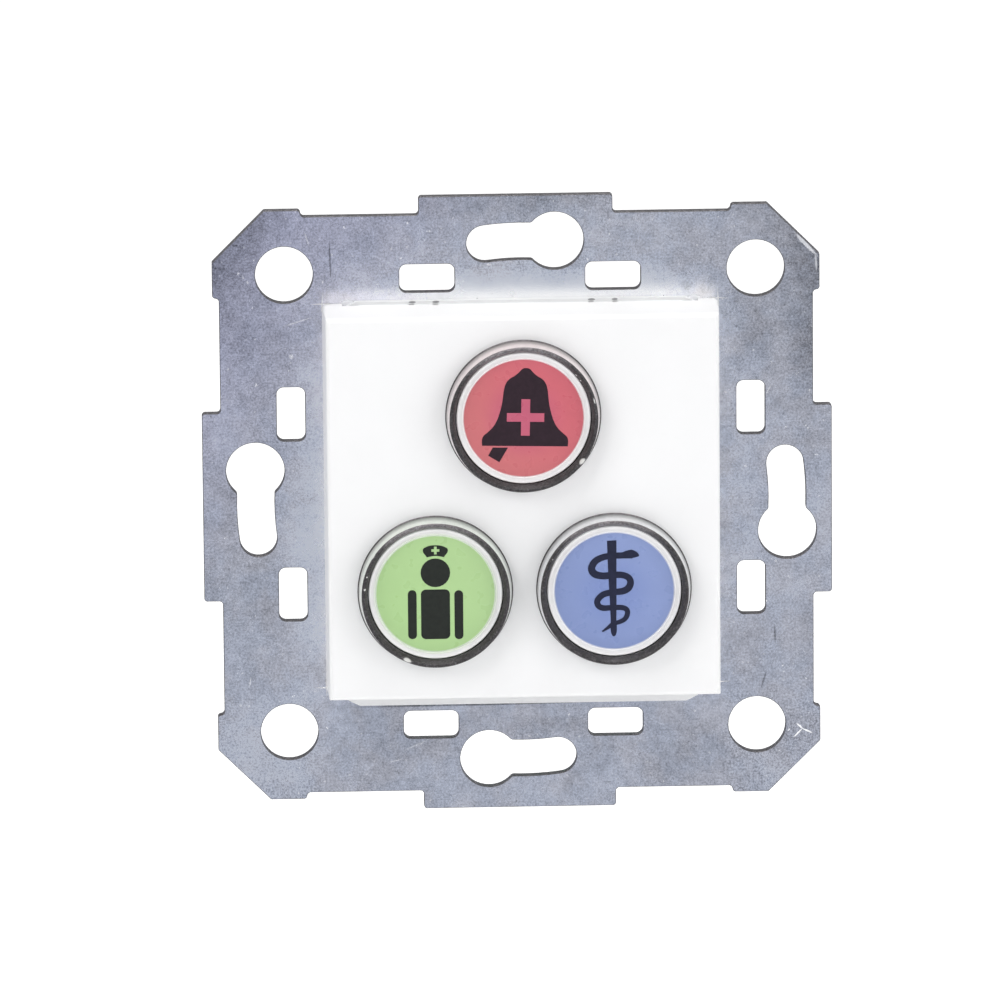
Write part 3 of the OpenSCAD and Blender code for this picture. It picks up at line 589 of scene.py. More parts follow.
def smoked_chrome(colour, centres, ring_r):
    """The bezels' dark band: satin chrome with painted light round its top, fine light specks and a
    few painted glints."""
    made = Finish("smoked_chrome", colour, 0.3, 1.0, Specular_IOR_Level=0.25)
    tarnish = made.spread(made.noise(0.6 * MM, 4, 0.6))
    grain = made.spread(made.noise(0.2 * MM, 3, 0.7), 0.6, 1.5)
    specks = made.fit(made.noise(0.2 * MM, 2, 0.6), 0.62, 0.76, 0, 0.16)
    painted_top_light = 0.0
    # Painted light: the band lighter round the top of each bezel
    for centre in centres:
        around = made.mapped((centre.x - 1 * MM, 0, centre.z + ring_r), size=(9 * MM, 1, 6 * MM))
        painted_top_light = made.math("MAXIMUM", painted_top_light, made.fit(made.spot(around), 0, 0.7))
    grain = made.math("MULTIPLY", grain, made.fit(painted_top_light, 0, 1, 1.0, 3.0, smooth=False))
    base = made.toned(made.shaded(tarnish, colour, 0.82, 1.2), grain)
    base = made.mix(specks, base, (0.60, 0.58, 0.58))
    glints = 0.0
    # Painted glints
    for glint in BEZEL_GLINTS:
        glints = made.math("MAXIMUM", glints, made.fit(made.dab(glint, 0, 1), 0.1, 0.5))
    made.colour(made.mix(glints, base, (0.66, 0.66, 0.64)))
    made.set(made.shader, "Metallic", made.fit(glints, 0, 1, 0.3, 0.0, smooth=False))
    made.roughness(made.fit(tarnish, 0, 1, 0.40, 0.5, smooth=False))
    made.bump(made.noise(0.12 * MM, 3), 0.002 * MM)
    return made


# Each film's tint at its upper left and how deep its soft edge is, then the deeper tint at its
# heart, the share of that and how far it reaches. Lengths are in millimetres.
FILM_LOOKS = {
    "bell": ((0.60, 0.153, 0.163), 0.12, (0.50, 0.083, 0.17), 0.75, 5.4),
    "nurse": ((0.405, 0.625, 0.267), 0.20, (0.42, 0.63, 0.28), 0.0, 3.0),
    "doctor": ((0.217, 0.286, 0.545), 0.15, (0.16, 0.226, 0.51), 0.5, 5.2),
}
SOFT_EDGE = (0.93, 0.93, 0.95)  # the tint that a film's soft edge fades to
HEART_FROM = 1.2 * MM


def printed_film(name, button, centre, colour, edge):
    """Printed film under the clear lens: soft edge, slight drift of tint, print grain, and at its
    heart, where the ink stands close round it, a deeper tint."""
    warm, faded, heart, heart_share, heart_r = FILM_LOOKS[button]
    made = Finish(name, colour, 0.28, Coat_Weight=0.3, Coat_Roughness=0.12)
    away = made.distance(centre)
    aslant = made.axis(made.mapped(centre, math.radians(-40)), "X")
    tint = made.mix(made.fit(aslant, -6 * MM, 6 * MM), warm, colour)
    tint = made.mix(made.spread(made.noise(3 * MM, 2), 0, 0.04), tint, shade(colour, 1.08))
    tint = made.mix(made.spread(made.noise(0.14 * MM, 1), 0, 0.06), tint, shade(colour, 0.86))
    tint = made.mix(made.fit(away, HEART_FROM, heart_r * MM, heart_share, 0), tint, heart)
    made.colour(made.mix(made.fit(away, edge - faded * MM, edge, 0, 0.75), tint, SOFT_EDGE))
    made.roughness(made.spread(made.noise(1.2 * MM, 1), 0.27, 0.31))
    made.bump(made.noise(0.3 * MM, 1), 0.0004 * MM)
    return made


def legend_ink(name, colour):
    """Dark print with a slightly uneven coat."""
    made = Finish(name, colour, 0.35, Specular_IOR_Level=0.3)
    made.colour(made.shaded(made.spread(made.noise(0.5 * MM, 4)), colour, 0.9, 1.12))
    made.roughness(made.spread(made.noise(0.2 * MM, 3), 0.28, 0.42))
    made.bump(made.noise(0.15 * MM, 2), 0.002 * MM)
    return made


# How much of the film's tint each lens takes all over, and close round its disc
LENS_TINTS = {"bell": (0.03, 0.1), "nurse": (0.08, 0.36), "doctor": (0.04, 0.1)}
HALO = 0.35 * MM  # how far past the disc the closer tint reaches


def lens_plastic(name, button, centre, colour, tint, disc_r, lens_r):
    """Milky lens plastic that takes a little of the film's colour, most close to the disc."""
    share, close_share = LENS_TINTS[button]
    made = Finish(name, colour, 0.16, Coat_Weight=0.4, Coat_Roughness=0.06)
    away = made.distance(centre)
    tinted = made.fit(away, disc_r, lens_r, share, share / 4)
    tinted = made.math("MAXIMUM", tinted, made.fit(away, disc_r, disc_r + HALO, close_share, 0))
    cloud = made.shaded(made.spread(made.noise(2.5 * MM, 3)), colour, 0.98, 1.02)
    made.colour(made.mix(tinted, cloud, tint))
    made.roughness(made.spread(made.noise(0.8 * MM, 3), 0.12, 0.24))
    made.bump(made.noise(0.5 * MM, 2), 0.003 * MM)
    return made


def board_laminate():
    """Green solder mask over woven glass and copper tracks."""
    green, light = (0.012, 0.10, 0.035), (0.03, 0.19, 0.07)
    made = Finish("board_laminate", green, 0.3, Coat_Weight=0.3, Coat_Roughness=0.1)
    weave_x = made.noise(0.5 * MM, 1, 0.5, made.mapped(size=(8, 1, 1)))
    weave_z = made.noise(0.5 * MM, 1, 0.5, made.mapped(size=(1, 1, 8)))
    weave = made.math("MAXIMUM", weave_x, weave_z)
    tracks = made.cells(3 * MM, output="Distance")
    base = made.mix(made.fit(weave, 0.4, 0.75, 0, 0.5), green, light)
    made.colour(made.mix(made.fit(tracks, 0.30, 0.34, 0.7, 0), base, light))
    made.roughness(made.fit(weave, 0.4, 0.7, 0.25, 0.4))
    made.bump(weave, 0.01 * MM)
    return made


# Settings


def length_setting(name, description, default, least=0.0, precision=5):
    return FloatProperty(
        name=name, description=description, default=default, min=least, unit="LENGTH",
        precision=precision)


def colour_setting(name, description, default):
    return FloatVectorProperty(
        name=name, description=description, default=default, subtype="COLOR", min=0, max=1)


def power_setting(name, description, default):
    return FloatProperty(
        name=name, description=description, default=default, min=0, unit="POWER")


def strength_setting(name, description, default):
    return FloatProperty(name=name, description=description, default=default, min=0)


class PlateSettings(bpy.types.PropertyGroup):
    """The steel mounting plate."""

    edge_round: length_setting(
        "Edge rounding", "Rounding that shearing leaves along the sheet's edges", 0.08 * MM)
    steel: colour_setting("Steel", "Colour of the zinc coat", (0.785, 0.795, 0.835))
    sheared: colour_setting("Cut edge", "Colour of the sheared edges", (0.20, 0.192, 0.20))


class CoverSettings(bpy.types.PropertyGroup):
    """The front cover and the housing behind it."""

    edge_round: length_setting("Edge rounding", "Rounding of the cover's edges", 0.1 * MM)
    cover_white: colour_setting("Cover", "Colour of the white cover", (0.85, 0.85, 0.853))
    housing_round: length_setting(
        "Housing rounding", "Rounding of the housing's edges", 0.06 * MM)
    housing_white: colour_setting(
        "Housing", "Colour of the housing's plastic", (0.78, 0.785, 0.79))


class ButtonSettings(bpy.types.PropertyGroup):
    """The bezels, lens caps and legend discs of the three buttons."""

    segments: IntProperty(
        name="Segments", description="Faces round each turned piece", default=128, min=24)
    crest_r: length_setting(
        "Crest rounding", "Rounding of the bezel's crest", 0.25 * MM, least=0.05 * MM)
    crest_inset: length_setting(
        "Crest inset", "Lean of the bezel's side up to its crest", 0.4 * MM)
    foot_h: length_setting("Foot height", "Upright part of the bezel's side", 0.46 * MM)
    foot_cut: length_setting(
        "Foot chamfer", "Chamfer round the bezel's foot, on the cover", 0.12 * MM)
    # Below this height the bezel's side is darkened by painted shade
    painted_shade_h: length_setting(
        "Clear height", "Height of the bezel's side above which it mirrors clearly", 1.45 * MM)
    bell_chrome: colour_setting(
        "Bell's chrome", "Tint of the side of the bell's bezel", (0.98, 0.885, 0.885))
    nurse_chrome: colour_setting(
        "Nurse's chrome", "Tint of the side of the nurse's bezel", (0.94, 0.98, 0.91))
    doctor_chrome: colour_setting(
        "Doctor's chrome", "Tint of the side of the doctor's bezel", (0.95, 0.95, 0.96))
    smoked: colour_setting(
        "Dark band", "Colour of the bezels' dark band", (0.060, 0.056, 0.058))
    rim_round: length_setting("Rim rounding", "Rounding of the lens's outer edge", 0.16 * MM)
    rim_groove: length_setting(
        "Rim groove", "Depth of the hollow between the lens's two edges", 0.06 * MM)
    disc_drop: length_setting(
        "Disc drop", "Depth of the legend disc below the lens's rim", 0.07 * MM)
    print_h: length_setting(
        "Print height", "Height of the printed legends over their discs", 0.02 * MM, precision=6)
    lens_white: colour_setting("Lens", "Colour of the milky lens caps", (0.965, 0.955, 0.955))
    red_film: colour_setting("Red film", "Colour of the bell's disc", (0.62, 0.12, 0.153))
    green_film: colour_setting("Green film", "Colour of the nurse's disc", (0.42, 0.63, 0.28))
    blue_film: colour_setting("Blue film", "Colour of the doctor's disc", (0.244, 0.315, 0.585))


class StageSettings(bpy.types.PropertyGroup):
    """Floor, lights and camera."""

    floor_drop: length_setting("Floor drop", "Distance of the floor below the unit", 0.15)
    floor_size: length_setting("Floor size", "Side of the square floor", 12.0, least=1.0)
    floor_glow: strength_setting(
        "Floor glow", "Light of its own that keeps the far floor white", 0.46)
    near_glow: strength_setting("Near glow", "The floor's own light below the unit", 0.05)
    card_glow: strength_setting(
        "Card glow", "Strength of the grey cards that the metal mirrors", 1.1)
    card_colour: colour_setting(
        "Card", "Colour of the cards that the metal mirrors", (0.385, 0.415, 0.49))
    world: strength_setting("Room light", "Strength of the even light of the room", 0.44)
    key_light: power_setting("Key light", "Power of the light at the upper left", 9.6)
    fill_light: power_setting("Fill light", "Power of the light at the right", 6.3)
    top_light: power_setting("Top light", "Power of the light overhead", 11.0)
    lens: FloatProperty(
        name="Focal length", description="Focal length of the camera, in millimetres",
        default=432.0, min=1)
    camera_at: FloatVectorProperty(
        name="Camera place", description="Place of the camera", subtype="TRANSLATION",
        default=(-0.045507, -1.315993, 0.319728), unit="LENGTH", precision=6)
    camera_turn: FloatVectorProperty(
        name="Camera turn", description="Turn of the camera about X, Y and Z", subtype="EULER",
        default=(1.332459, 0.008210, -0.034728), unit="ROTATION", precision=6)


# Steel, cover and housing

UPRIGHT = 0.95  # faces whose normals point out of the wall by less than this are cut edges
# Painted shadow in the slits of the housing's upper lip, given as the steel's marks are, and where
# it lies
PAINTED_SLIT_SHADOWS = [
    ((-12.15, 23.30), 0.92, 0, 0.15), ((-9.50, 23.30), 0.88, 0, 0.15),
    ((8.00, 23.30), 0.92, 0, 0.15), ((10.60, 23.30), 0.76, 0, 0.15),
]
SLIT_Y, SLIT_DEPTH = -1.8 * MM, 1 * MM
# The lower lip carries painted shade: between these heights, and places in and out, the tone changes
LOWER_LIP_Z = (-21.6 * MM, -21.4 * MM)
LOWER_LIP_Y = (-1.2 * MM, -1.0 * MM)
LOWER_LIP_SHADE, SLIT_SHADE = 0.94, 0.40


class CALLUNIT_OT_steel_plate(bpy.types.Operator):
    """Make the sheared steel mounting plate with its two folded lugs"""

    bl_idname = "call_unit.steel_plate"
    bl_label = "Steel plate"

    def execute(self, context):
        settings = context.scene.call_unit_plate
        sheet_front = front("mounting_plate")
        plate = dressed(
            "mounting_plate", "steel_plate", settings.edge_round, "galvanised_steel",
            galvanised_steel(settings.steel, sheet_front), sheared_steel(settings.sheared))
        for face in plate.data.polygons:
            upright = abs(face.normal.y) < UPRIGHT
            in_sheet = -sheet_front - NEAR < face.center.y < NEAR
            face.material_index = int(upright and in_sheet)
        return {"FINISHED"}


class CALLUNIT_OT_front_cover(bpy.types.Operator):
    """Make the white front cover"""

    bl_idname = "call_unit.front_cover"
    bl_label = "Front cover"

    def execute(self, context):
        settings = context.scene.call_unit_cover
        white = moulded(
            "white_plastic", settings.cover_white, rough=(0.30, 0.38), mottle=0.008,
            patch=9 * MM, grain=0.5 * MM, depth=0.003 * MM)
        dressed("front_cover", "white_cover", settings.edge_round, "white_plastic", white)
        return {"FINISHED"}


class CALLUNIT_OT_rear_housing(bpy.types.Operator):
    """Make the housing behind the plate, with painted shade on its lower lip and painted shadow in
    the slits of its upper lip
    """

    bl_idname = "call_unit.rear_housing"
    bl_label = "Rear housing"

    def execute(self, context):
        settings = context.scene.call_unit_cover
        plastic = moulded(
            "housing_plastic", settings.housing_white, rough=(0.42, 0.55), mottle=0.02,
            patch=6 * MM, grain=0.18 * MM, depth=0.008 * MM)
        # Painted shade on the lower lip
        low = plastic.fit(plastic.axis(plastic.place, "Z"), *LOWER_LIP_Z, 1, 0)
        out = plastic.fit(plastic.axis(plastic.place, "Y"), *LOWER_LIP_Y, 1, 0)
        clean = plastic.shader.inputs["Base Color"].links[0].from_socket
        white = settings.housing_white
        tone = plastic.mix(plastic.math("MULTIPLY", low, out), clean, shade(white, LOWER_LIP_SHADE))
        # Painted shadow in the slits
        dark = 0.0
        for slit in PAINTED_SLIT_SHADOWS:
            share = plastic.fit(plastic.dab(slit, SLIT_Y, SLIT_DEPTH), 0, 0.25)
            dark = plastic.math("MAXIMUM", dark, share)
        plastic.colour(plastic.mix(dark, tone, shade(white, SLIT_SHADE)))
        dressed("rear_housing", "housing_box", settings.housing_round, "housing_plastic", plastic)
        return {"FINISHED"}


# Buttons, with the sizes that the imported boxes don't give

HEX_FLATS = math.cos(math.radians(30))  # across a lock nut's flats, by its corners
NUT_WALL = 0.45 * MM  # from the barrel to the flats of its lock nut
FLANGE = 0.5 * MM  # least width of the bezel outside its barrel
LENS_PLAY = 0.1 * MM  # between the lens and the bezel's bore
SKIRT_STEP = 1.225 * MM  # from the lens's side in to its skirt, and from the bore to its guide
SKIRT_BORE = 2.025 * MM  # from the lens's side in to the skirt's bore
SHELF_DROP = 2.8 * MM  # from the disc's back to the shelf in the bezel's bore
BORE_MOUTH = ((0.06 * MM, 0.25 * MM), (0, 0.16 * MM))  # rounding over the lens, out and up
CREST_END = 115  # how far round the bezel's crest is rounded, in degrees from its side
CAP_H = 1.6 * MM  # thickness of the lens cap over its skirt
EAR_H, EAR_HALF, EAR_OUT = 0.7 * MM, 1.5 * MM, 0.5 * MM  # the stop ears of the skirt
DISC_PLAY = 0.01 * MM  # between the lens and its disc
DISC_EDGE = 0.06 * MM  # rounding of the disc's edge


class CALLUNIT_OT_bezel_rings(bpy.types.Operator):
    """Turn the three metal bezels with their barrels"""

    bl_idname = "call_unit.bezel_rings"
    bl_label = "Bezel rings"

    def execute(self, context):
        settings = context.scene.call_unit_buttons
        node = "bell_bezel_ring"
        centre, outer, crest, end = middle(node), radius(node), front(node), back(node)
        base, lens_top = front("front_cover"), front("bell_lens_cap")
        barrel = min(radius("bell_lock_nut") * HEX_FLATS - NUT_WALL, outer - FLANGE)
        bore = radius("bell_lens_cap") + LENS_PLAY
        guide, shelf = bore - SKIRT_STEP, back("bell_legend_disc") - SHELF_DROP
        cut, round_r = settings.foot_cut, settings.crest_r
        lean = math.degrees(math.atan2(settings.crest_inset, crest - base - settings.foot_h))
        top_r, top_h = outer - settings.crest_inset - round_r, crest - round_r
        stations = [
            (barrel, end), (barrel, base), (outer, base), (outer, base + cut / 2),
            (outer - cut, base + 1.5 * cut), (outer - cut, base + settings.foot_h),
            *arc(top_r, top_h, round_r, lean, CREST_END, 10),
            *((bore + out, lens_top + up) for out, up in BORE_MOUTH),
            (bore, shelf), (guide, shelf), (guide, end),
        ]
        ring = turned("bezel_model", centre, stations, settings.segments)
        soften(ring)
        wear(ring, None, None)
        for face in ring.data.polygons:
            high = -face.center.y
            away = math.hypot(face.center.x - centre.x, face.center.z - centre.z)
            crest_face = high > top_h or (high > lens_top and away < top_r)
            # The foot's chamfer takes the dark band as a painted shadow line round the bezel's foot
            painted_foot_shadow = base - NEAR < high < base + 1.5 * cut and away > outer - cut
            face.material_index = int(crest_face or painted_foot_shadow)
        places = [middle(f"{name}_bezel_ring") for name in BUTTONS]
        dark_band = smoked_chrome(settings.smoked, places, outer)
        for name, piece in copies(ring, "bezel", "bezel_ring").items():
            chrome = f"{name}_chrome"
            side = bezel_side(
                chrome, getattr(settings, chrome), base + cut, base + settings.painted_shade_h)
            wear(piece, side, dark_band)
            settle(piece, "frame", "chrome", f"{name}_bezel_ring")
        return {"FINISHED"}


class CALLUNIT_OT_lens_caps(bpy.types.Operator):
    """Turn the three milky lens caps with their skirts and stop ears"""

    bl_idname = "call_unit.lens_caps"
    bl_label = "Lens caps"

    def execute(self, context):
        settings = context.scene.call_unit_buttons
        node, disc = "bell_lens_cap", "bell_legend_disc"
        centre, outer, top, low = middle(node), radius(node), front(node), back(node)
        disc_r, seat = radius(disc), back(disc)
        under, ear_top = top - CAP_H, low + EAR_H
        skirt, bore = outer - SKIRT_STEP, outer - SKIRT_BORE
        edge, groove = settings.rim_round, settings.rim_groove
        rim = (outer - disc_r) / 8
        stations = [
            (disc_r / 2, seat), (disc_r + DISC_PLAY, seat), (disc_r + DISC_PLAY, top - groove),
            (disc_r + 0.05 * MM, top - groove / 4), (disc_r + rim, top),
            (disc_r + 2 * rim, top - groove / 3), (disc_r + 3 * rim, top - groove),
            (outer - 2 * rim, top - groove), (outer - edge - rim / 2, top - groove / 4),
            *arc(outer - edge, top - edge, edge, 100, 0, 6),
            (outer, under), (skirt, under), (skirt, ear_top), (skirt, low), (bore, low),
            (bore, under), (bore / 2, under),
        ]
        cap = turned("lens_model", centre, stations, settings.segments, ring=False)
        edit(cap)
        select_faces(cap, lambda at, normal: (
            low < -at.y < ear_top and abs(at.z - centre.z) < EAR_HALF
            and (at.x - centre.x) * normal.x > 0 and abs(at.x - centre.x) > bore))
        bpy.ops.mesh.extrude_region_shrink_fatten(TRANSFORM_OT_shrink_fatten={"value": EAR_OUT})
        bpy.ops.object.mode_set(mode="OBJECT")
        soften(cap)
        for name, piece in copies(cap, "lens", "lens_cap").items():
            wear(piece, lens_plastic(
                f"{name}_lens_plastic", name, middle(f"{name}_lens_cap"), settings.lens_white,
                getattr(settings, FILMS[name]), disc_r, outer))
            settle(piece, f"{name}_button", "lens_plastic", f"{name}_lens_cap")
        return {"FINISHED"}


class CALLUNIT_OT_legend_discs(bpy.types.Operator):
    """Make the three coloured legend discs"""

    bl_idname = "call_unit.legend_discs"
    bl_label = "Legend discs"

    def execute(self, context):
        settings = context.scene.call_unit_buttons
        node = "bell_legend_disc"
        r, low, high = radius(node), back(node), front(node) - settings.disc_drop
        stations = [
            (r / 2, low), (r, low), *arc(r - DISC_EDGE, high - DISC_EDGE, DISC_EDGE, 0, 90, 4),
            (r - 0.4 * MM, high), (r / 2, high),
        ]
        disc = turned("disc_model", middle(node), stations, settings.segments, ring=False)
        soften(disc)
        for name, piece in copies(disc, "disc", "legend_disc").items():
            film, disc_node = FILMS[name], f"{name}_legend_disc"
            wear(piece, printed_film(film, name, middle(disc_node), getattr(settings, film), r))
            settle(piece, f"{name}_button", film, disc_node)
        return {"FINISHED"}


# Legends, drawn in millimetres round the button's axis


def outline(points, corners=()):
    """A closed outline; the points numbered in corners are sharp, the others smooth."""
    return [(x, y, i in corners) for i, (x, y) in enumerate(points)]


def plus(x, y, reach, half):
    """A plus sign, from its middle to its arms' ends, and their half width."""
    return outline([
        (x - half, y + reach), (x + half, y + reach), (x + half, y + half), (x + reach, y + half),
        (x + reach, y - half), (x + half, y - half), (x + half, y - reach), (x - half, y - reach),
        (x - half, y - half), (x - reach, y - half), (x - reach, y + half), (x - half, y + half),
    ], range(12))


def rounded_bar(left, bottom, right, top, r):
    """A bar with rounded corners."""
    points = []
    for x, y, start in ((right - r, top - r, 0), (left + r, top - r, 90),
                        (left + r, bottom + r, 180), (right - r, bottom + r, 270)):
        for step in range(7):
            angle = math.radians(start + 15 * step)
            points.append((x + r * math.cos(angle), y + r * math.sin(angle)))
    return outline(points, range(len(points)))


def mirrored(half):
    """A whole outline from its right half, from the top down."""
    return half + [(-x, y) for x, y in reversed(half) if x > 0]


BELL_HALF = [
    (0.0, 5.74), (0.38, 5.66), (0.78, 5.26), (1.20, 4.88), (1.88, 4.44), (2.24, 3.95),
    (2.42, 3.35), (2.53, 2.50), (2.66, 1.55), (2.87, 0.65), (3.16, -0.25), (3.60, -1.05),
    (4.20, -1.68), (4.68, -2.12), (4.82, -2.50), (4.81, -3.22),
]
CAP = [
    (-1.38, 5.10), (-1.05, 5.40), (0.0, 5.60), (1.10, 5.38), (1.42, 5.09), (0.98, 4.22),
    (0.02, 4.37), (-0.95, 4.22),
]
ROD = [
    (-0.80, 5.80), (0.27, 5.84), (0.25, 2.20), (0.24, -0.40), (0.21, -2.98), (0.13, -5.10),
    (-0.09, -5.28), (-0.31, -5.10), (-0.44, -2.98), (-0.55, -0.40), (-0.69, 2.20),
]
SERPENT = [
    (2.80, 4.02), (2.45, 4.14), (1.95, 4.22), (1.40, 4.16), (0.90, 4.08), (-0.25, 4.06),
    (-1.26, 3.90), (-2.13, 3.45), (-2.55, 2.65), (-2.20, 1.98), (-1.26, 1.74), (-0.26, 1.82),
    (0.86, 1.82), (1.62, 1.48), (1.82, 0.85), (1.52, 0.24), (0.86, -0.07), (-0.27, -0.17),
    (-1.27, -0.42), (-1.90, -1.08), (-1.80, -1.70), (-1.25, -1.98), (-0.28, -1.95),
    (0.80, -1.95), (1.36, -2.18), (1.46, -2.62), (1.27, -3.15), (0.80, -3.52), (-0.25, -3.88),
    (-0.75, -4.27), (-1.40, -4.70),
]
SERPENT_WIDTHS = [
    0.10, 0.66, 1.02, 0.90, 0.70, 0.70, 0.74, 0.78, 0.82, 0.84, 0.80, 0.78, 0.74, 0.72, 0.76, 0.80,
    0.76, 0.72, 0.70, 0.70, 0.68, 0.66, 0.62, 0.60, 0.58, 0.58, 0.56, 0.52, 0.48, 0.36, 0.16,
]
CLAPPER = [(-3.60, -3.42), (-1.90, -3.42), (-2.84, -5.10), (-4.10, -4.36)]
HEAD = [(1.66, 2.42), (0, 4.08), (-1.66, 2.42), (0, 0.76)]
INKS = {
    "bell": (0.028, 0.013, 0.020), "nurse": (0.019, 0.022, 0.017), "doctor": (0.015, 0.018, 0.045),
}


def tapered_band(line, widths, steps=4):
    """The outline of a band of changing width along a smooth line, given its width at each
    point. Each stretch between two points is drawn in so many steps."""
    points = []
    for i in range(len(line) - 1):
        p0, p1, p2, p3 = (Vector(line[max(0, min(len(line) - 1, i + k))]) for k in (-1, 0, 1, 2))
        for step in range(steps):
            t = step / steps
            points.append(0.5 * (2 * p1 + (p2 - p0) * t + (2 * p0 - 5 * p1 + 4 * p2 - p3) * t * t
                                 + (3 * p1 - p0 - 3 * p2 + p3) * t * t * t))
    points.append(Vector(line[-1]))
    one_side, other_side = [], []
    for i, point in enumerate(points):
        ahead = (points[min(i + 1, len(points) - 1)] - points[max(i - 1, 0)]).normalized()
        share = i / steps
        low = min(int(share), len(widths) - 2)
        half = (widths[low] + (widths[low + 1] - widths[low]) * (share - low)) / 2
        across = Vector((-ahead.y, ahead.x)) * half
        one_side.append(tuple(point + across))
        other_side.append(tuple(point - across))
    whole = one_side + other_side[::-1]
    return outline(whole, range(len(whole)))


def printed_shape(name, outlines, centre, height, thickness, turn=0.0, shift=(0, 0)):
    """A flat printed figure with its holes, lying on a disc and facing the room."""
    deselect()
    curve = bpy.data.curves.new(name, "CURVE")
    curve.dimensions = "2D"
    curve.fill_mode = "BOTH"
    curve.extrude = thickness / 2
    curve.resolution_u = 6
    for points in outlines:
        spline = curve.splines.new("BEZIER")
        spline.bezier_points.add(len(points) - 1)
        spline.use_cyclic_u = True
        for knot, (x, y, sharp) in zip(spline.bezier_points, points):
            knot.co = (x * MM, y * MM, 0)
            knot.handle_left_type = knot.handle_right_type = "VECTOR" if sharp else "AUTO"
    pick(added(name, curve))
    bpy.ops.object.convert(target="MESH")
    figure = bpy.context.object
    figure.rotation_euler = (math.pi / 2, math.radians(turn), 0)
    figure.location = (centre.x + shift[0] * MM, -(height + thickness / 2), centre.z + shift[1] * MM)
    apply_place(figure)
    select_all(figure)
    bpy.ops.mesh.remove_doubles(threshold=PRINT_MERGE)
    bpy.ops.mesh.normals_make_consistent(inside=False)
    bpy.ops.object.mode_set(mode="OBJECT")
    return figure


PRINT_SINK = 0.25  # share of the print height that lies in the disc


class CALLUNIT_OT_legends(bpy.types.Operator):
    """Print the bell, the nurse, and the rod and serpent on their discs"""

    bl_idname = "call_unit.legends"
    bl_label = "Legends"

    def execute(self, context):
        settings = context.scene.call_unit_buttons
        thick = settings.print_h
        high = front("bell_legend_disc") - settings.disc_drop - PRINT_SINK * thick
        last = len(BELL_HALF)
        figures = [
            ("bell", "bell_symbol", 1.35, (0.2, 0.0), thick,
             [outline(mirrored(BELL_HALF), (last - 1, last)), plus(0.02, 0.07, 2.10, 0.5),
              outline(CLAPPER, range(4))]),
            ("nurse", "nurse_symbol", 0.0, (0.0, 0.0), thick,
             [outline(CAP, (5, 7)), plus(0.02, 5.0, 0.45, 0.15), outline(HEAD),
              rounded_bar(-1.65, -5.25, 1.61, 0.49, 0.55),
              rounded_bar(-3.12, -5.22, -2.14, 0.45, 0.48),
              rounded_bar(2.11, -5.31, 3.09, 0.36, 0.48)]),
            ("doctor", "doctor_rod", 0.0, (0.0, 0.0), thick, [outline(ROD, (0, 1))]),
            ("doctor", "doctor_serpent", 0.0, (0.0, 0.0), 1.5 * thick,
             [tapered_band(SERPENT, SERPENT_WIDTHS)]),
        ]
        inks = {name: legend_ink(f"{name}_ink", colour) for name, colour in INKS.items()}
        for name, figure, turn, shift, thickness, outlines in figures:
            centre = middle(f"{name}_legend_disc")
            piece = printed_shape(figure, outlines, centre, high, thickness, turn, shift)
            wear(piece, inks[name])
            settle(piece, f"{name}_button", FILMS[name])
        return {"FINISHED"}


# Works inside, and the terminals behind

TERMINAL_ROUND = 0.08 * MM  # rounding of the terminal block and its screws


class CALLUNIT_OT_push_works(bpy.types.Operator):
    """Finish the works behind the buttons, and make their return springs"""

    bl_idname = "call_unit.push_works"
    bl_label = "Push works"

    def execute(self, context):
        looks = {
            "lock_nut": plated("nickel_plate", (0.62, 0.60, 0.56), rough=(0.18, 0.32),
                               brush=(1, 6, 1)),
            "plunger": moulded("natural_plastic", (0.74, 0.71, 0.62), rough=(0.35, 0.5),
                               Subsurface_Weight=0.1, Subsurface_Scale=1 * MM),
            "contact_disc": plated("brass", (0.72, 0.52, 0.24), rough=(0.2, 0.4), brush=(8, 1, 1)),
            "contact_block": moulded("black_plastic", (0.022, 0.022, 0.024), rough=(0.38, 0.52),
                                     grain=0.15 * MM),
            "fixed_contacts": plated("gold_plate", (0.83, 0.60, 0.25), rough=(0.15, 0.3),
                                     grain=0.06 * MM),
            "led": moulded("led_resin", (0.90, 0.91, 0.93), rough=(0.05, 0.12), mottle=0.01,
                           Transmission_Weight=0.75, IOR=1.5),
        }
        for part, look in looks.items():
            for name in BUTTONS:
                wear(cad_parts[f"{name}_{part}"], look)
        coiled = plated("spring_steel", (0.56, 0.56, 0.57), rough=(0.2, 0.35), grain=0.05 * MM)
        for name in BUTTONS:
            node, joint = f"{name}_return_spring", f"{name}_press"
            spring = dressed(node, f"{name}_coil_spring", 0, "spring_steel", coiled)
            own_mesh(spring)
        wear(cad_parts["circuit_board"], board_laminate())
        zinc = plated("zinc_steel", (0.58, 0.60, 0.63), rough=(0.22, 0.4), brush=(1, 5, 1))
        wear(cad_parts["board_screws"], zinc)
        return {"FINISHED"}


class CALLUNIT_OT_terminals(bpy.types.Operator):
    """Make the terminal block, its clamps and its screws"""

    bl_idname = "call_unit.terminals"
    bl_label = "Terminals"

    def execute(self, context):
        green = moulded("terminal_plastic", (0.07, 0.36, 0.16), rough=(0.35, 0.5), mottle=0.05,
                        patch=3 * MM, grain=0.2 * MM)
        dressed("terminal_block", "terminal_body", TERMINAL_ROUND, "terminal_plastic", green)
        zinc = plated("terminal_zinc", (0.62, 0.64, 0.66), rough=(0.2, 0.38), grain=0.08 * MM)
        dressed("terminal_screws", "terminal_screw_set", TERMINAL_ROUND, "zinc_steel", zinc)
        tin = plated("tinned_metal", (0.66, 0.66, 0.64), rough=(0.28, 0.45), patch=0.8 * MM)
        wear(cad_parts["terminal_clamps"], tin)
        return {"FINISHED"}


# Stage, in metres

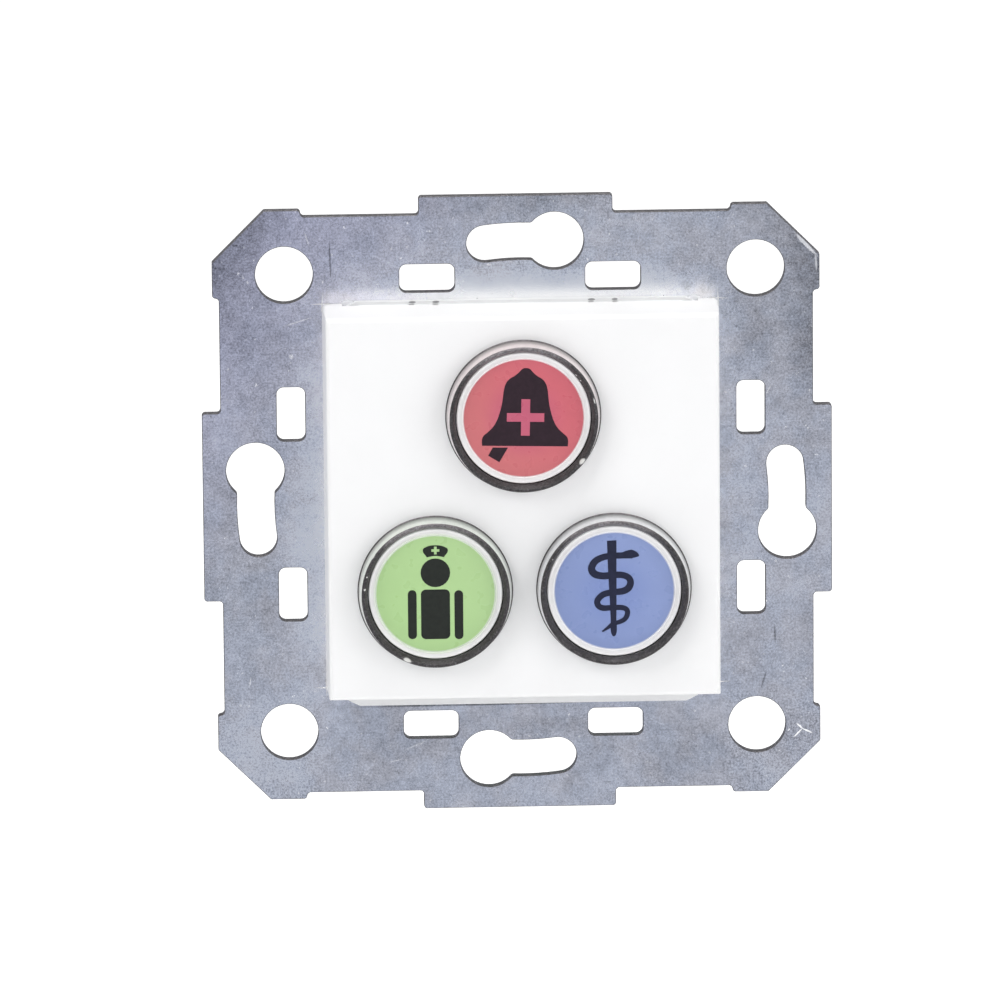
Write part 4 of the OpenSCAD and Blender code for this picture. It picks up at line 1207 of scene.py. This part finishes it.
# The cards that the metal mirrors, one before the wall and one behind: how far out and how high
# their middles are, their width and depth, and how far they lean over, in degrees
CARD_OUT, CARD_Z, CARD_SIZE, CARD_LEAN = 0.425, -0.0165, (1.8, 0.73), 152.9
# The floor's own light grows between these distances from the place below the unit
GLOW_GROWS = (0.12, 0.50)
# Place and side of each square lamp
LAMPS = {
    "key_light": ((-1.10, -1.10, 1.05), 0.9),
    "fill_light": ((1.25, -0.85, 0.45), 0.9),
    "top_light": ((0.0, -0.04, 1.35), 0.5),
}


def plane(name, size, place):
    """A level square."""
    deselect()
    bpy.ops.mesh.primitive_plane_add(size=size, location=place)
    piece = bpy.context.object
    piece.name = name
    return piece


class CALLUNIT_OT_stage(bpy.types.Operator):
    """Set the pale floor, the soft lights and the camera"""

    bl_idname = "call_unit.stage"
    bl_label = "Stage"

    def execute(self, context):
        settings = context.scene.call_unit_stage
        below = (0, 0, cad_box[0][2] - settings.floor_drop)
        floor = plane("pale_floor", settings.floor_size, below)
        apply_place(floor)
        pale = Finish("pale_floor", (0.93, 0.93, 0.93), 0.9, Emission_Color=(1, 1, 1, 1))
        glow = pale.fit(
            pale.distance_to(below), *GLOW_GROWS, settings.near_glow, settings.floor_glow)
        pale.set(pale.shader, "Emission Strength", glow)
        pale.colour(pale.mix(pale.noise(0.4, 2), (0.92, 0.92, 0.92), (0.94, 0.94, 0.94)))
        wear(floor, pale)

        grey = Finish("card_grey", (0, 0, 0), 1.0, Emission_Strength=settings.card_glow,
                      Emission_Color=(*settings.card_colour, 1))
        for side, name in ((-1, "front_card"), (1, "rear_card")):
            card = plane(name, 1, (0, side * CARD_OUT, CARD_Z))
            card.scale = (*CARD_SIZE, 1)
            card.rotation_euler = (-side * math.radians(CARD_LEAN), 0, 0)
            apply_place(card)
            wear(card, grey)
            card.visible_camera = card.visible_diffuse = card.visible_shadow = False
            card.visible_transmission = False

        world = bpy.data.worlds.new("studio_room")
        context.scene.world = world
        world.use_nodes = True
        sky = world.node_tree.nodes["Background"]
        sky.inputs["Color"].default_value = (1, 1, 1, 1)
        sky.inputs["Strength"].default_value = settings.world

        for name, (place, size) in LAMPS.items():
            deselect()
            aim = Vector((0, 0, 0)) - Vector(place)
            bpy.ops.object.light_add(
                type="AREA", location=place, rotation=aim.to_track_quat("-Z", "Y").to_euler())
            lamp = bpy.context.object
            lamp.name = name
            lamp.data.shape = "SQUARE"
            lamp.data.size = size
            lamp.data.energy = getattr(settings, name)

        deselect()
        bpy.ops.object.camera_add(location=settings.camera_at, rotation=settings.camera_turn)
        camera = bpy.context.object
        camera.name = "camera"
        camera.data.lens = settings.lens
        camera.data.dof.use_dof = False
        context.scene.camera = camera
        context.scene.view_settings.view_transform = "Standard"
        return {"FINISHED"}


STEPS = (
    CALLUNIT_OT_steel_plate, CALLUNIT_OT_front_cover, CALLUNIT_OT_rear_housing,
    CALLUNIT_OT_bezel_rings, CALLUNIT_OT_lens_caps, CALLUNIT_OT_legend_discs,
    CALLUNIT_OT_legends, CALLUNIT_OT_push_works, CALLUNIT_OT_terminals, CALLUNIT_OT_stage,
)
SETTINGS = {
    "call_unit_plate": PlateSettings, "call_unit_cover": CoverSettings,
    "call_unit_buttons": ButtonSettings, "call_unit_stage": StageSettings,
}


class CALLUNIT_PT_panel(bpy.types.Panel):
    """The unit's pieces and their settings"""

    bl_idname = "CALLUNIT_PT_panel"
    bl_label = "Call unit"
    bl_space_type = "VIEW_3D"
    bl_region_type = "UI"
    bl_category = "Call unit"

    def draw(self, context):
        for step in STEPS:
            self.layout.operator(step.bl_idname)
        for group in SETTINGS:
            box = self.layout.box()
            values = getattr(context.scene, group)
            for name in values.__annotations__:
                box.prop(values, name)


def register():
    for group, settings in SETTINGS.items():
        bpy.utils.register_class(settings)
        setattr(bpy.types.Scene, group, PointerProperty(type=settings))
    for step in (*STEPS, CALLUNIT_PT_panel):
        bpy.utils.register_class(step)


def unregister():
    for step in (*STEPS, CALLUNIT_PT_panel):
        bpy.utils.unregister_class(step)
    for group, settings in SETTINGS.items():
        delattr(bpy.types.Scene, group)
        bpy.utils.unregister_class(settings)


def main():
    register()
    for step in STEPS:
        family, name = step.bl_idname.split(".")
        getattr(getattr(bpy.ops, family), name)()
    deselect()


if __name__ == "__main__":
    main()
